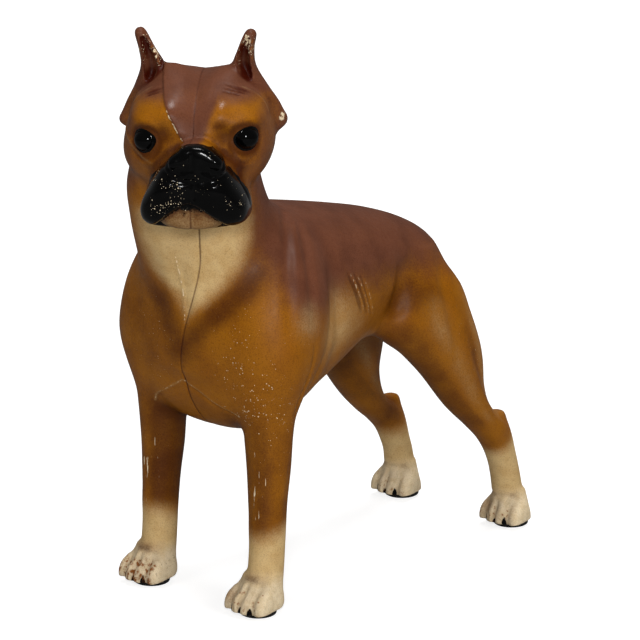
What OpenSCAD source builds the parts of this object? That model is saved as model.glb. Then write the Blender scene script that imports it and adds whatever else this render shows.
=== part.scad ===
// Standing dog doorstop: two hollow half castings screwed together along the dog's middle line.
// The dog faces -Y, its left side is +X, Z is up, and the pads under its paws stand on Z = 0.

/* [Stance] */
// Height of the withers above the floor
withers_h = 140; // [132:1:148]
// Distance between the fore and hind paws, middle to middle
paw_span = 138; // [130:1:146]
// Sideways distance between the forelegs
fore_track = 52; // [48:1:56]
// Sideways distance between the hind legs
hind_track = 54; // [50:1:58]

/* [Trunk] */
// Depth of the chest from the withers to the keel
chest_depth = 78; // [73:1:83]
// Width of the chest at the shoulders
chest_w = 76; // [72:1:80]
// Width of the loin, at its narrowest
loin_w = 48; // [44:1:52]
// Width of the hips without the thighs
hip_w = 50; // [46:1:54]
// Fall of the back from the withers to the hips
back_fall = 16.5; // [12:0.5:20]
// Rise of the belly from the keel to the loin
tuck_rise = 28; // [23:1:31]
// Length of the docked tail
tail_l = 9; // [7:0.5:12]

/* [Neck and head] */
// How far the head turns to the dog's left, in degrees
head_turn = 37; // [30:1:42]
// Width of the neck below the jaw
neck_w = 47; // [43:1:51]
// Height of the eyes above the withers
eye_rise = 32; // [28:1:36]
// Width of the skull across the cheeks
skull_w = 50.5; // [47:0.5:54]
// Height of the skull above the eyes
skull_rise = 21; // [18:0.5:24]
// Distance between the eyes, middle to middle
eye_gap = 32.6; // [30:0.2:35]
// Diameter of each painted eye
eye_d = 7.4; // [6.6:0.1:8.4]
// Width of the muzzle across the lips
muzzle_w = 37; // [33:1:41]
// Reach of the muzzle ahead of the eyes
muzzle_l = 17; // [14:0.5:20]
// Drop of the hanging lips below the eyes
lip_drop = 27.5; // [24:0.5:30]
// Width of the nose
nose_w = 19.5; // [17:0.5:21]
// Height of the nose
nose_h = 10.5; // [9:0.5:12]
// Height of the ear tips above the top of the skull
ear_rise = 14; // [11:0.5:17]
// Distance between the ear tips
ear_gap = 36; // [32:1:40]
// How far the ear tips lean to the dog's right
ear_lean = 2; // [0:0.5:3]
// How far the nose and the mouth sit to the left of the joint
muzzle_set = 2; // [0:0.5:3]

/* [Legs and paws] */
// Thickness of the foreleg below the knee
fore_shank = 13; // [12:0.2:14.6]
// Thickness of the hind leg below the hock
hind_shank = 11.4; // [10.4:0.2:13]
// Height of the hock above the floor
hock_h = 41; // [38:1:44]
// How much lower the right hock stands
right_drop = 4.5; // [0:0.5:6]
// How much further back the right hind shank stands
right_back = 2; // [0:0.5:3]
// Length of a paw
paw_l = 22; // [20:0.5:24]
// Width of a paw
paw_w = 18; // [16:0.5:20]
// Height of the toes
toe_h = 9; // [8:0.5:10.5]
// From a forepaw's middle to its back end
fore_paw_back = 8.2; // [7.6:0.2:9]
// From a hind paw's middle to its back end
hind_paw_back = 5.2; // [4.6:0.2:6]

/* [Castings and fixings] */
// Thickness of the cast wall
wall = 4; // [3.2:0.1:5]
// Diameter of the screw thread
screw_d = 5; // [4:0.5:6]
// Diameter of the screw head
head_d = 9.6; // [8.5:0.2:11]
// Depth of thread in the left half
thread_l = 13; // [10:0.5:15]
// Room round the screw in the right half, on the diameter
screw_room = 0.4; // [0.2:0.1:0.8]
// Diameter of the screw posts inside the castings
post_d = 13; // [11.5:0.5:15]
// Diameter of the pads
pad_d = 13; // [11:0.5:15]
// Thickness of the pads
pad_t = 2.2; // [1.5:0.1:3]

/* [Hidden] */

// Places in the dog's own frame, then the shift that centres the whole figure's box
fore_y = -67;
hind_y = fore_y + paw_span;
middle_x = -0.9;
middle_y = 17;
keel_z = withers_h - chest_depth;
loin_z = keel_z + tuck_rise;
hip_z = withers_h - back_fall;
chest_y = fore_y - 9.5;
rump_y = hind_y - 18;
trunk_l = rump_y - chest_y;
eye_z = withers_h + eye_rise;
skull_top = skull_rise;
pivot_y = fore_y + 3;
head_reach = 16.5;
nose_reach = head_reach + 0.5 + muzzle_l;
fore_x = fore_track / 2;
hind_x = hind_track / 2;
elbow_z = keel_z + 2;
screw_z = keel_z + 38;
front_screw_y = fore_y + 35;
rear_screw_y = hind_y - 72;
slot_w = 1.3;
slot_deep = 1.4;
sink_l = (head_d - screw_d) / 2;
coat = "saddlebrown";
steel = "gray";
black = "black";

// Curves: a row of sizes anywhere along a list of rows, and a list with rows filled in between
function row(list, i) = list[min(max(i, 0), len(list) - 1)];
function between(a, b, c, d, t) = b + (c - a) * t / 2 + (2 * a - 5 * b + 4 * c - d) * t * t / 2
  + (3 * b - a - 3 * c + d) * t * t * t / 2;
function smooth(list, n) = [
  for (i = [0 : len(list) - 2])
    for (k = [0 : n - 1])
      between(row(list, i - 1), list[i], list[i + 1], row(list, i + 2), k / n),
  list[len(list) - 1]
];

// One section of a form: [x, y, z, turn, tilt, half width, ahead, behind, fullness].
// Fullness 2 is an ellipse and more is boxier. Tilt 0 stands the section up and 90 lays it flat.
function bend(v, f) = sign(v) * pow(abs(v), 2 / f);
function ahead_of(s) = [sin(s[3]) * sin(s[4]), -cos(s[3]) * sin(s[4]), cos(s[4])];
function section_point(s, a) = [s[0], s[1], s[2]] + [cos(s[3]), sin(s[3]), 0] * s[5] * bend(cos(a), s[8])
  + ahead_of(s) * (sin(a) > 0 ? s[6] : s[7]) * bend(sin(a), s[8]);

// Swells are soft mounds or hollows, [place, reach, height], alike on both sides of the middle
function mound(p, m) = let (d = [abs(p[0]) - m[0][0], p[1] - m[0][1], p[2] - m[0][2]])
  m[2] * exp(-pow(d[0] / m[1][0], 2) - pow(d[1] / m[1][1], 2) - pow(d[2] / m[1][2], 2));
function total(list, i = 0) = i < len(list) ? list[i] + total(list, i + 1) : 0;
function swollen(p, c, mounds) = let (v = p - c, l = norm(v))
  l < 0.01 ? p : p + v / l * total([for (m = mounds) mound(p, m)]);

// A closed skin over sections that run upwards, or from front to back
module form(sections, sides, mounds = []) {
  n = len(sections);
  middles = [for (s = sections) [s[0], s[1], s[2]]];
  points = [
    for (i = [0 : n - 1])
      for (k = [0 : sides - 1])
        swollen(section_point(sections[i], 360 * k / sides), middles[i], mounds),
    middles[0],
    middles[n - 1]
  ];
  faces = [
    for (i = [0 : n - 2])
      for (k = [0 : sides - 1])
        let (a = i * sides + k, b = i * sides + (k + 1) % sides)
          each [[a, b, a + sides], [b, b + sides, a + sides]],
    for (k = [0 : sides - 1])
      each [
        [n * sides, (k + 1) % sides, k],
        [n * sides + 1, (n - 1) * sides + k, (n - 1) * sides + (k + 1) % sides]
      ]
  ];
  polyhedron(points, faces, convexity = 6);
}

// Melts overlapping forms into one skin, at the size they are drawn
module one_skin() {
  resize([0, 0, 0]) children();
}

module both_sides() {
  children();
  mirror([1, 0, 0]) children();
}

// Trunk, from the breast to the rump
function rib(share, top, keel, half, full, thin = 0) = let (mid = keel + (top - keel) * 0.52)
  [
    0,
    chest_y + trunk_l * share,
    mid,
    0,
    0,
    max(half - thin, 1),
    max(top - mid - thin, 1),
    max(mid - keel - thin, 1),
    full
  ];
function trunk_rows(thin) = [
  rib(-0.012, withers_h - 38, keel_z + 31, chest_w / 2 - 28, 2.0, thin),
  rib(0.00, withers_h - 31, keel_z + 23, chest_w / 2 - 16, 2.1, thin),
  rib(0.03, withers_h - 20, keel_z + 10.5, chest_w / 2 - 5, 2.35, thin),
  rib(0.09, withers_h - 8, keel_z + 2.2, chest_w / 2 + 0.6, 2.4, thin),
  rib(0.165, withers_h - 2, keel_z - 0.4, chest_w / 2 + 0.8, 2.35, thin),
  rib(0.265, withers_h, keel_z + 2.5, chest_w / 2 - 1.5, 2.25, thin),
  rib(0.375, withers_h - back_fall * 0.16, keel_z + tuck_rise * 0.27, chest_w / 2 - 5, 2.2, thin),
  rib(0.50, withers_h - back_fall * 0.36, keel_z + tuck_rise * 0.53, chest_w / 2 - 8, 2.2, thin),
  rib(0.625, withers_h - back_fall * 0.58, keel_z + tuck_rise * 0.84, chest_w / 2 - 11, 2.2, thin),
  rib(0.735, withers_h - back_fall * 0.8, keel_z + tuck_rise * 1.04, loin_w / 2, 2.2, thin),
  rib(0.83, hip_z - 1.2, keel_z + tuck_rise * 1.05, hip_w / 2 - 2, 2.2, thin),
  rib(0.91, hip_z - 7, keel_z + tuck_rise, hip_w / 2 - 8, 2.2, thin),
  rib(0.965, hip_z - 14.5, keel_z + tuck_rise + 1, hip_w / 2 - 14, 2.1, thin),
  rib(1.00, hip_z - 22, keel_z + tuck_rise + 6, hip_w / 2 - 19, 2.0, thin)
];
trunk_swells = [
  [[chest_w / 2 - 3, fore_y + 15, keel_z + 45], [15, 11, 24], 2.2],
  [[chest_w / 2 - 3, fore_y + 4, keel_z + 26], [14, 10, 16], 2.4],
  [[chest_w / 2 - 3, fore_y + 33, keel_z + 46], [14, 4.5, 24], -2.2],
  [[loin_w / 2, hind_y - 42, keel_z + 40], [14, 11, 15], -2.2],
  [[0, chest_y, keel_z + 36], [6, 9, 14], 2],
  [[0, chest_y + 2, keel_z + 12], [7, 12, 9], -1.5]
];

// Neck, from the chest up into the skull, turning with the head
function nape(x, y, z, turn, tilt, half, front, back, full, thin) =
  [x, y, z, head_turn * turn, tilt, half - thin, front - thin, back - thin, full];
function neck_rows(thin) = [
  nape(0, fore_y + 20, keel_z + 30, 0, 100, chest_w / 2 - 5, 28.5, 22, 2.2, thin),
  nape(0, fore_y + 14, keel_z + 48, 0.12, 106, neck_w / 2 + 8, 25.5, 24, 2.15, thin),
  nape(-0.5, fore_y + 7, keel_z + 64, 0.45, 110, neck_w / 2 + 4, 22.5, 23, 2.1, thin),
  nape(0.5, fore_y - 1, withers_h + 1, 0.8, 108, neck_w / 2 + 1, 20.5, 22, 2.1, thin),
  nape(3, fore_y - 6, withers_h + 14, 1, 106, neck_w / 2, 19, 23.5, 2.1, thin),
  nape(6, fore_y - 8, withers_h + 29, 1, 102, neck_w / 2 - 3, 16, 24, 2.1, thin)
];

// Head, drawn facing -Y round the middle of the skull at eye height
function skull(ahead, mid, half, up, down, full, thin = 0) =
  [0, -ahead, mid, 0, 0, half - thin, up - thin, down - thin, full];
function skull_rows(thin) = [
  skull(22.5 - thin, 0, skull_w / 2 - 16, skull_top - 16, 8, 2.2, thin * 0.6),
  skull(20 - thin, 0, skull_w / 2 - 9, skull_top - 11, 13, 2.4, thin),
  skull(13, 0, skull_w / 2 - 2.5, skull_top - 4.5, 18, 2.5, thin),
  skull(3, 0, skull_w / 2, skull_top - 0.5, 21, 2.4, thin),
  skull(-8, 0, skull_w / 2 - 0.5, skull_top, 22, 2.3, thin),
  skull(-18, -1, skull_w / 2 - 3.5, skull_top - 1.5, 20, 2.2, thin),
  skull(-26 + thin, -2, skull_w / 2 - 10, skull_top - 7, 14, 2.1, thin),
  skull(-29.5 + thin, -2, skull_w / 2 - 18, skull_top - 16, 7, 2, thin * 0.6)
];
skull_swells = [
  [[11, -15, 10], [7, 8, 5], 2.4],
  [[eye_gap / 2, -18.5, 0], [5.2, 7, 4.4], -2.4],
  [[skull_w / 2 - 2, -3, -9], [8, 10, 9], 0.6],
  [[10.5, 2, skull_top - 1], [5, 8, 6], 2.8],
  [[0, -6, skull_top], [3.5, 20, 16], -2],
  [[0, -23, 3], [4, 6, 6], -1.5]
];
muzzle_swells = [
  [[15, -nose_reach + 8, -3], [9, 18, 9], -6],
  [[15, -nose_reach + 6, -lip_drop + 3], [7, 10, 7], 2]
];
nose_swells = [
  [[8, -nose_reach, 1.5], [5, 10, 4], -3]
];
muzzle_rows = [
  skull(nose_reach + 1.5, -11, muzzle_w / 2 - 9.5, 6, 8, 2.4),
  skull(nose_reach + 0.3, -11.5, muzzle_w / 2 - 4.5, 8.5, lip_drop - 17, 2.8),
  skull(nose_reach - 4, -12, muzzle_w / 2 - 1.2, 10, lip_drop - 13, 3.0),
  skull(nose_reach - 12, -12.5, muzzle_w / 2, 11, lip_drop - 12.2, 3.0),
  skull(nose_reach - 21, -13, muzzle_w / 2 + 0.5, 11.5, lip_drop - 13, 2.8),
  skull(nose_reach - 30, -13, muzzle_w / 2 - 1.5, 11, lip_drop - 15, 2.4)
];
nose_rows = [
  skull(nose_reach + 2.8, -3.8, nose_w / 2 - 4.5, nose_h / 2 - 2.2, nose_h / 2 - 2.4, 2.2),
  skull(nose_reach + 1.9, -3.8, nose_w / 2 - 1.3, nose_h / 2 - 0.8, nose_h / 2 - 0.6, 2.5),
  skull(nose_reach - 1.5, -3.6, nose_w / 2, nose_h / 2 - 0.3, nose_h / 2, 2.7),
  skull(nose_reach - 9, -3, nose_w / 2 - 1, nose_h / 2 - 0.8, nose_h / 2, 2.5)
];
chin_rows = [
  skull(nose_reach - 1.5, -22.4, 5, 4, 3, 2.2),
  skull(nose_reach - 3, -22.4, 9, 7, 4.4, 2.4),
  skull(nose_reach - 8, -22.4, 12, 9, 5, 2.5),
  skull(nose_reach - 18, -22, 13.5, 10, 5, 2.5),
  skull(nose_reach - 28, -21, 14, 10, 3, 2.4)
];

// An ear, whose tip leans outwards by lean, with its hollow
ear_tip = skull_top + ear_rise;
function ear_row(z, out, ahead, half, front, back, lean) =
  [ear_gap / 2 + out + lean * ease((z - 8) / 26), -ahead, z, 0, 90, half, front, back, 2];
function ear_rows(lean) = [
  ear_row(1, 2.1, -9, 7.2, 4, 5, lean),
  ear_row(8, 1.7, -7.5, 7.4, 5.2, 5.5, lean),
  ear_row(15, -0.5, -5.6, 6, 6, 5.5, lean),
  ear_row(skull_top + 1, -2.2, -4, 4.7, 5.4, 4.8, lean),
  ear_row(ear_tip - 7, -0.8, -3, 3.3, 3.6, 3.4, lean),
  ear_row(ear_tip - 1.8, 0.6, -3, 2.2, 2.4, 2.3, lean),
  ear_row(ear_tip, 0.8, -3, 1, 1.1, 1.1, lean)
];
function cup_rows(lean) = [
  ear_row(10, -1, -2.6, 1.2, 4, 2.6, lean),
  ear_row(14, -1.2, -2, 2, 5, 3.6, lean),
  ear_row(skull_top - 2, -1.4, -1.4, 2.5, 5.5, 4.2, lean),
  ear_row(skull_top + 5, -1.4, -1, 1.9, 4.5, 3.4, lean),
  ear_row(ear_tip - 3.5, 0.2, -0.8, 0.9, 2.6, 1.8, lean)
];
module ear(lean) {
  difference() {
    form(smooth(ear_rows(lean), 2), 18);
    form(smooth(cup_rows(lean), 2), 14);
  }
}

// The inverted V where the lips part over the chin
module lip_parting() {
  deep = 5.5;
  translate([muzzle_set, -nose_reach + deep, 0])
    rotate([90, 0, 0])
      linear_extrude(deep + 10)
        polygon([
          [0, -16.5],
          [4, -19],
          [11.5, -lip_drop - 3],
          [-11.5, -lip_drop - 3],
          [-4, -19]
        ]);
}

module head_place() {
  translate([0, pivot_y, eye_z])
    rotate([0, 0, head_turn])
      translate([0, -head_reach, 0])
        children();
}

module head() {
  form(smooth(skull_rows(0), 2), 30, skull_swells);
  difference() {
    translate([muzzle_set * 0.4, 0, 0]) form(smooth(muzzle_rows, 2), 28, muzzle_swells);
    lip_parting();
  }
  form(smooth(chin_rows, 2), 22);
  translate([muzzle_set, 0, 0]) form(smooth(nose_rows, 2), 20, nose_swells);
  both_sides() translate([eye_gap / 2, -16.6, 0]) sphere(d = eye_d, $fn = 16);
  ear(-ear_lean);
  mirror([1, 0, 0]) ear(ear_lean);
}

// Legs, from the paw up into the trunk
function leg(x, y, z, tilt, half, front, back, full = 2) = [x, y, z, 0, tilt, half, front, back, full];
fore_rows = [
  leg(fore_x, fore_y + 3, pad_t + 2, 90, fore_shank / 2 + 0.1, 7.4, 5.6),
  leg(fore_x, fore_y + 4.5, pad_t + 13, 94, fore_shank / 2, 7, 5.4),
  leg(fore_x, fore_y + 5.5, 28, 92, fore_shank / 2, 7, 5.4),
  leg(fore_x - 0.2, fore_y + 6, 40, 90, fore_shank / 2 + 0.6, 7.6, 5.8),
  leg(fore_x - 0.4, fore_y + 7, elbow_z - 12, 88, fore_shank / 2 + 1.5, 8.8, 6.2),
  leg(fore_x - 0.5, fore_y + 7.5, elbow_z + 3, 88, fore_shank / 2 + 2.3, 10.5, 6.8, 2.1),
  leg(fore_x - 0.6, fore_y + 8.5, elbow_z + 17, 90, fore_shank / 2 + 3.8, 13.3, 10.4, 2.1),
  leg(fore_x - 2, fore_y + 10.5, elbow_z + 34, 92, fore_shank / 2 + 5.1, 17, 16, 2.1),
  leg(fore_x - 5, fore_y + 14, elbow_z + 52, 94, fore_shank / 2 + 5.5, 17, 18, 2.1)
];
// A hind leg whose hock stands lower by drop, and whose shank stands further back
function hind_rows(drop, back) = let (hock = hock_h - drop, y = hind_y + back) [
  leg(hind_x, hind_y - 1, pad_t + 2, 90, hind_shank / 2 + 0.3, 7, 5.4),
  leg(hind_x, hind_y - 2.5 + back * 0.4, pad_t + 13, 100, hind_shank / 2, 5.9, 5.4),
  leg(hind_x, y - 6, hock - 14, 107, hind_shank / 2, 5, 5.6),
  leg(hind_x, y - 11.5, hock - 4, 116, hind_shank / 2 + 0.6, 5.2, 7.2),
  leg(hind_x - 0.3, hind_y - 19, hock + 5, 124, hind_shank / 2 + 1.4, 6.2, 5.8),
  leg(hind_x - 1, hind_y - 27, hock + 15, 118, hind_shank / 2 + 2.6, 8.6, 9.2),
  leg(hind_x - 2, hind_y - 34.5, hock + 29, 110, hind_shank / 2 + 4.4, 12.6, 14.8),
  leg(hind_x - 4.5, hind_y - 42, hock + 44, 102, hind_shank / 2 + 5.8, 18, 18, 2.1),
  leg(hind_x - 8, hind_y - 45.5, hock_h + 58, 94, hind_shank / 2 + 6.2, 19.5, 18, 2.1),
  leg(hind_x - 13.5, hind_y - 45, hock_h + 72, 90, hind_shank / 2 + 3.7, 13, 9.5, 2)
];
// The pointed heel of the hock, above the back of the shank
function heel_rows(drop, back) = let (hock = hock_h - drop, y = hind_y + back) [
  leg(hind_x, y - 6.5, hock - 14, 90, 3.6, 4.5, 4.6, 2.2),
  leg(hind_x, y - 8.4, hock - 4, 90, 3.7, 5, 4.8, 2.4),
  leg(hind_x - 0.2, y - 10.2, hock + 2.8, 90, 3.3, 5, 4.8, 2.6),
  leg(hind_x - 0.3, y - 11, hock + 4.8, 90, 2.7, 4.5, 4.2, 2.6)
];
module hind_leg(drop, back) {
  form(smooth(hind_rows(drop, back), 2), 18);
  form(smooth(heel_rows(drop, back), 2), 12);
}

// A paw round its middle, toes to -Y, whose back end is flush with the leg
module paw(back) {
  rows = [
    leg(0, 0, pad_t - 3, 90, paw_w / 2 - 1.2, paw_l / 2 - 1, max(back, pad_d / 2 + 0.4), 2.4),
    leg(0, 0, pad_t + 3, 90, paw_w / 2 - 1.4, paw_l / 2 - 1.6, back + 0.6, 2.3),
    leg(0, 0, pad_t + toe_h - 3, 90, paw_w / 2 - 2, paw_l / 2 - 4.4, back - 0.8, 2.2),
    leg(0, 0, pad_t + toe_h + 2.4, 90, paw_w / 2 - 3.2, paw_l / 2 - 7, back - 2.2, 2)
  ];
  form(smooth(rows, 2), 18);
  for (k = [-1.5 : 1 : 1.5])
    translate([k * paw_w / 4.2, -paw_l / 2 + 5.4 + abs(k) * 1.2, pad_t + 1.4])
      rotate([0, 0, k * 7])
        scale([paw_w / 7.5, 5.4, toe_h * 0.7])
          sphere(1, $fn = 12);
}

module legs() {
  both_sides() {
    form(smooth(fore_rows, 2), 18);
    translate([fore_x, fore_y, 0]) paw(fore_paw_back);
    translate([hind_x, hind_y, 0]) paw(hind_paw_back);
  }
  hind_leg(0, 0);
  mirror([1, 0, 0]) hind_leg(right_drop, right_back);
}

module tail() {
  rows = [
    leg(0, rump_y + tail_l * 0.3, hip_z - 25 - tail_l * 0.55, 140, 2.4, 2.2, 2.2),
    leg(0, rump_y + tail_l * 0.2, hip_z - 25 - tail_l * 0.42, 140, 4, 3.6, 3.6),
    leg(0, rump_y - 4, hip_z - 23, 140, 5, 4.8, 4.8),
    leg(0, rump_y - 11, hip_z - 17, 140, 5.5, 5, 5)
  ];
  form(smooth(rows, 2), 14);
}

// The whole figure, and the hollow inside it
module figure() {
  difference() {
    union() {
      form(smooth(trunk_rows(0), 2), 34, trunk_swells);
      form(smooth(neck_rows(0), 2), 30);
      head_place() head();
      legs();
      tail();
    }
    translate([-100, -150, -20]) cube([200, 300, 20 + pad_t]);
  }
}
module hollow() {
  inset = 1 - 2.2 * wall / trunk_l;
  translate([0, (chest_y + rump_y) / 2, 0])
    scale([1, inset, 1])
      translate([0, -(chest_y + rump_y) / 2, 0])
        form(smooth(trunk_rows(wall + 0.8), 1), 22);
  form(smooth(neck_rows(wall + 0.6), 1), 18);
  head_place() form(smooth(skull_rows(wall + 1), 1), 18);
}

// The side of the joint that goes to the left half. Up the neck the joint turns with the head,
// first at the throat and later at the nape, and stays flat through the trunk.
function ease(v) = let (t = min(max(v, 0), 1)) t * t * (3 - 2 * t);
module left_of_joint() {
  rows = [0, 60, 76, 84, 92, 100, 108, 116, 124, 132, 140, 150, 160, 240];
  ring = [
    for (z = rows)
      let (h = z * withers_h / 140 - 12, front = head_turn * ease((h - keel_z - 22) / 46),
        back = head_turn * ease((h - withers_h - 6) / 24))
        [
          [0, pivot_y, h],
          [80 * sin(front), pivot_y - 80 * cos(front), h],
          [120, pivot_y - 80, h],
          [120, pivot_y + 200, h],
          [-200 * sin(back), pivot_y + 200 * cos(back), h]
        ]
  ];
  n = len(rows);
  polyhedron(
    [for (r = ring) each r],
    [
      for (i = [0 : n - 2])
        for (k = [0 : 4])
          let (a = i * 5 + k, b = i * 5 + (k + 1) % 5)
            each [[a, a + 5, b], [b, a + 5, b + 5]],
      [0, 1, 2, 3, 4],
      [for (k = [4 : -1 : 0]) (n - 1) * 5 + k]
    ],
    convexity = 4
  );
}

// Posts for the two screws, as far as the skin
module posts() {
  intersection() {
    form(smooth(trunk_rows(0.6), 1), 24, trunk_swells);
    for (y = [front_screw_y, rear_screw_y])
      translate([0, y, screw_z])
        rotate([0, 90, 0])
          cylinder(h = 120, d = post_d, center = true, $fn = 24);
  }
}
module shell() {
  difference() {
    figure();
    hollow();
  }
  posts();
}

// Depth of each screw head below the widest part of the flank there
front_seat = chest_w / 2 - 6.4;
rear_seat = chest_w / 2 - 13.6;

module screw_bore(y, seat) {
  translate([-seat, y, screw_z])
    rotate([0, 90, 0]) {
      translate([0, 0, -20]) cylinder(h = 20.01, d = head_d + screw_room);
      cylinder(h = sink_l, d1 = head_d, d2 = screw_d);
      cylinder(h = seat + 1, d = screw_d + screw_room);
    }
}
module tapped_hole(y) {
  translate([-1, y, screw_z])
    rotate([0, 90, 0])
      cylinder(h = thread_l + 2.5, d = screw_d);
}
module screw(y, seat) {
  translate([-seat, y, screw_z])
    rotate([0, 90, 0])
      difference() {
        union() {
          cylinder(h = sink_l, d1 = head_d, d2 = screw_d);
          translate([0, 0, sink_l - 0.01]) cylinder(h = seat + thread_l - sink_l, d = screw_d);
        }
        translate([-slot_w / 2, -head_d, -1]) cube([slot_w, 2 * head_d, slot_deep + 1]);
      }
}

module place() {
  translate([middle_x, middle_y, 0]) children();
}

module left_half() {
  color(coat)
    place()
      difference() {
        one_skin()
          intersection() {
            shell();
            left_of_joint();
          }
        tapped_hole(front_screw_y);
        tapped_hole(rear_screw_y);
      }
}
module right_half() {
  color(coat)
    place()
      difference() {
        one_skin()
          difference() {
            shell();
            left_of_joint();
          }
        screw_bore(front_screw_y, front_seat);
        screw_bore(rear_screw_y, rear_seat);
      }
}
module front_screw() {
  color(steel) place() screw(front_screw_y, front_seat);
}
module rear_screw() {
  color(steel) place() screw(rear_screw_y, rear_seat);
}
module pad(x, y) {
  color(black) place() translate([x, y, 0]) cylinder(h = pad_t, d = pad_d);
}
module pad_front_left() {
  pad(fore_x, fore_y);
}
module pad_front_right() {
  pad(-fore_x, fore_y);
}
module pad_hind_left() {
  pad(hind_x, hind_y);
}
module pad_hind_right() {
  pad(-hind_x, hind_y);
}

left_half();
right_half();
front_screw();
rear_screw();
pad_front_left();
pad_front_right();
pad_hind_left();
pad_hind_right();
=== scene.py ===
"""Looks for a painted cast-iron dog doorstop: two half castings, two slotted screws and four rubber pads.

The dog is modelled as clay: each form is a skin over sections, the forms are melted into one
another on a grid of small cells, creases and folds are pressed in, and the result is meshed and
cut along the casting joint. Lengths are in millimetres until a mesh is made, and then in metres.
"""

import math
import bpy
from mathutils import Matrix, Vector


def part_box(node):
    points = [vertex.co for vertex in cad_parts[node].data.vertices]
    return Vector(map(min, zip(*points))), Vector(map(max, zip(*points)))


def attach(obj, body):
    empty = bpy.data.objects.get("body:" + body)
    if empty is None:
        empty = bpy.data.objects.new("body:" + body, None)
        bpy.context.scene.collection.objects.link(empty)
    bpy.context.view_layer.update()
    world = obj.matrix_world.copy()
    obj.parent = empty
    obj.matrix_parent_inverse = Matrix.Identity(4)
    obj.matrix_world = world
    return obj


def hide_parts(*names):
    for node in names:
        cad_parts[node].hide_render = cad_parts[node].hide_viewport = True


bl_info = {
    "name": "Dog Doorstop",
    "version": (1, 0, 0),
    "blender": (4, 5, 0),
    "location": "View3D > Sidebar > Doorstop",
    "description": "Builds a painted cast-iron dog doorstop round its packed CAD part",
    "category": "Object",
}

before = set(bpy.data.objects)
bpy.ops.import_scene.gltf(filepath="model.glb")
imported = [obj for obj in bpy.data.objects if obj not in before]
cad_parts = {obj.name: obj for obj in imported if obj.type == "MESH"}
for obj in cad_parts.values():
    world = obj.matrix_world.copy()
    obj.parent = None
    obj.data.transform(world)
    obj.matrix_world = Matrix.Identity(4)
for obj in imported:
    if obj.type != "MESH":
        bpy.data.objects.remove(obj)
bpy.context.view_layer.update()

import bmesh
import bpy
import numpy as np
import openvdb
from mathutils import Vector

MM = 0.001

# The dog's own sizes in mm, close to the part's: it faces -Y, its left side is +X and Z is up
WITHERS, KEEL, TUCK, FALL = 140.0, 62.0, 28.0, 16.5
HIP = WITHERS - FALL
FORE_Y, HIND_Y, FORE_X, HIND_X = -67.0, 71.0, 26.0, 27.0
CHEST_Y, RUMP_Y = FORE_Y - 9.5, HIND_Y - 18.0
CHEST_W, LOIN_W, HIP_W, NECK_W = 76.0, 48.0, 50.0, 47.0
HEAD_TURN, PIVOT_Y, HEAD_REACH, EYE_Z = 37.0, FORE_Y + 3.0, 16.5, 172.0
SKULL_W, SKULL_TOP, NOSE_REACH, LIP_DROP, MUZZLE_W = 50.5, 21.0, 34.0, 27.5, 37.0
NOSE_W, NOSE_H, MUZZLE_SET, EYE_GAP = 19.5, 10.5, 2.0, 32.6
EAR_GAP, EAR_TIP, EAR_LEAN = 36.0, 35.0, 2.0
FORE_SHANK, HIND_SHANK, HOCK, RIGHT_DROP, RIGHT_BACK = 13.0, 11.4, 41.0, 4.5, 2.0
PAW_L, PAW_W, TOE_H, PAD_T, PAD_D = 22.0, 18.0, 9.0, 2.2, 13.0
PAWS = ((FORE_X, FORE_Y), (-FORE_X, FORE_Y), (HIND_X, HIND_Y), (-HIND_X, HIND_Y))
# Where the dog's own middle lies in the frame, and the corners of the block of clay
MIDDLE = np.array([-0.9, 17.0, 0.0])
BLOCK_LOW, BLOCK_HIGH = (-45, -101, -3), (45, 101, 211)


def linear(code):
    """A colour written as sRGB hex, as the linear red, green and blue that shaders use."""
    parts = [int(code[i : i + 2], 16) / 255 for i in (1, 3, 5)]
    return tuple(c / 12.92 if c <= 0.04045 else ((c + 0.055) / 1.055) ** 2.4 for c in parts)


# ---------------------------------------------------------------- settings


def length(name, use, metres):
    return bpy.props.FloatProperty(name=name, description=use, default=metres, unit="LENGTH")


def angle(name, use, degrees):
    return bpy.props.FloatProperty(name=name, description=use, default=math.radians(degrees), subtype="ANGLE")


def colour(name, use, code):
    return bpy.props.FloatVectorProperty(name=name, description=use, default=linear(code), subtype="COLOR")


class DogShape(bpy.types.PropertyGroup):
    """Sizes of the modelled surface."""

    cell: bpy.props.FloatProperty(
        name="Cell", description="Size of the cells that the clay is modelled on, in mm", default=0.5, min=0.4, max=1.5)
    triangles: bpy.props.IntProperty(
        name="Triangles", description="Most triangles in the two castings together", default=376000, min=50000)
    crease: bpy.props.FloatProperty(
        name="Creases", description="Depth of the skin creases against the modelled depth", default=1.0, min=0, max=2,
        subtype="FACTOR")
    joint: length("Joint gap", "Open gap between the two castings", 0.00003)


class DogPaint(bpy.types.PropertyGroup):
    """Colours of the sprayed coat."""

    amber: colour("Amber", "Flanks and legs", "#935a08")
    brown: colour("Red brown", "Back, nape and forehead", "#653b28")
    # The shade colour is sprayed paint, and is also laid as painted shade in hollows, creases, round the eyes and
    # between the legs
    shade: colour("Shade", "Darkest spray, in folds and between the legs", "#3c1502")
    cream: colour("Cream", "Throat, shanks and paws", "#cbac78")
    black: colour("Black", "Muzzle, nose and eyes", "#020202")
    # The primer colour also pales the lower paws, partly as a painted highlight, and lays a painted highlight along the
    # ridges behind the rib creases
    chip: colour("Primer", "Pale primer that shows where paint is chipped", "#e8d4b0")
    rust: colour("Rust", "Rust where the iron is bare", "#7a4416")


class DogFixings(bpy.types.PropertyGroup):
    """Sizes of the screws and pads."""

    slot_width: length("Slot width", "Width of the screwdriver slot", 0.0013)
    slot_depth: length("Slot depth", "Depth of the screwdriver slot", 0.0014)
    pad_round: bpy.props.FloatProperty(
        name="Pad rounding", description="How far a pad's rim draws in", default=0.09, subtype="FACTOR", min=0, max=0.3)


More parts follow.
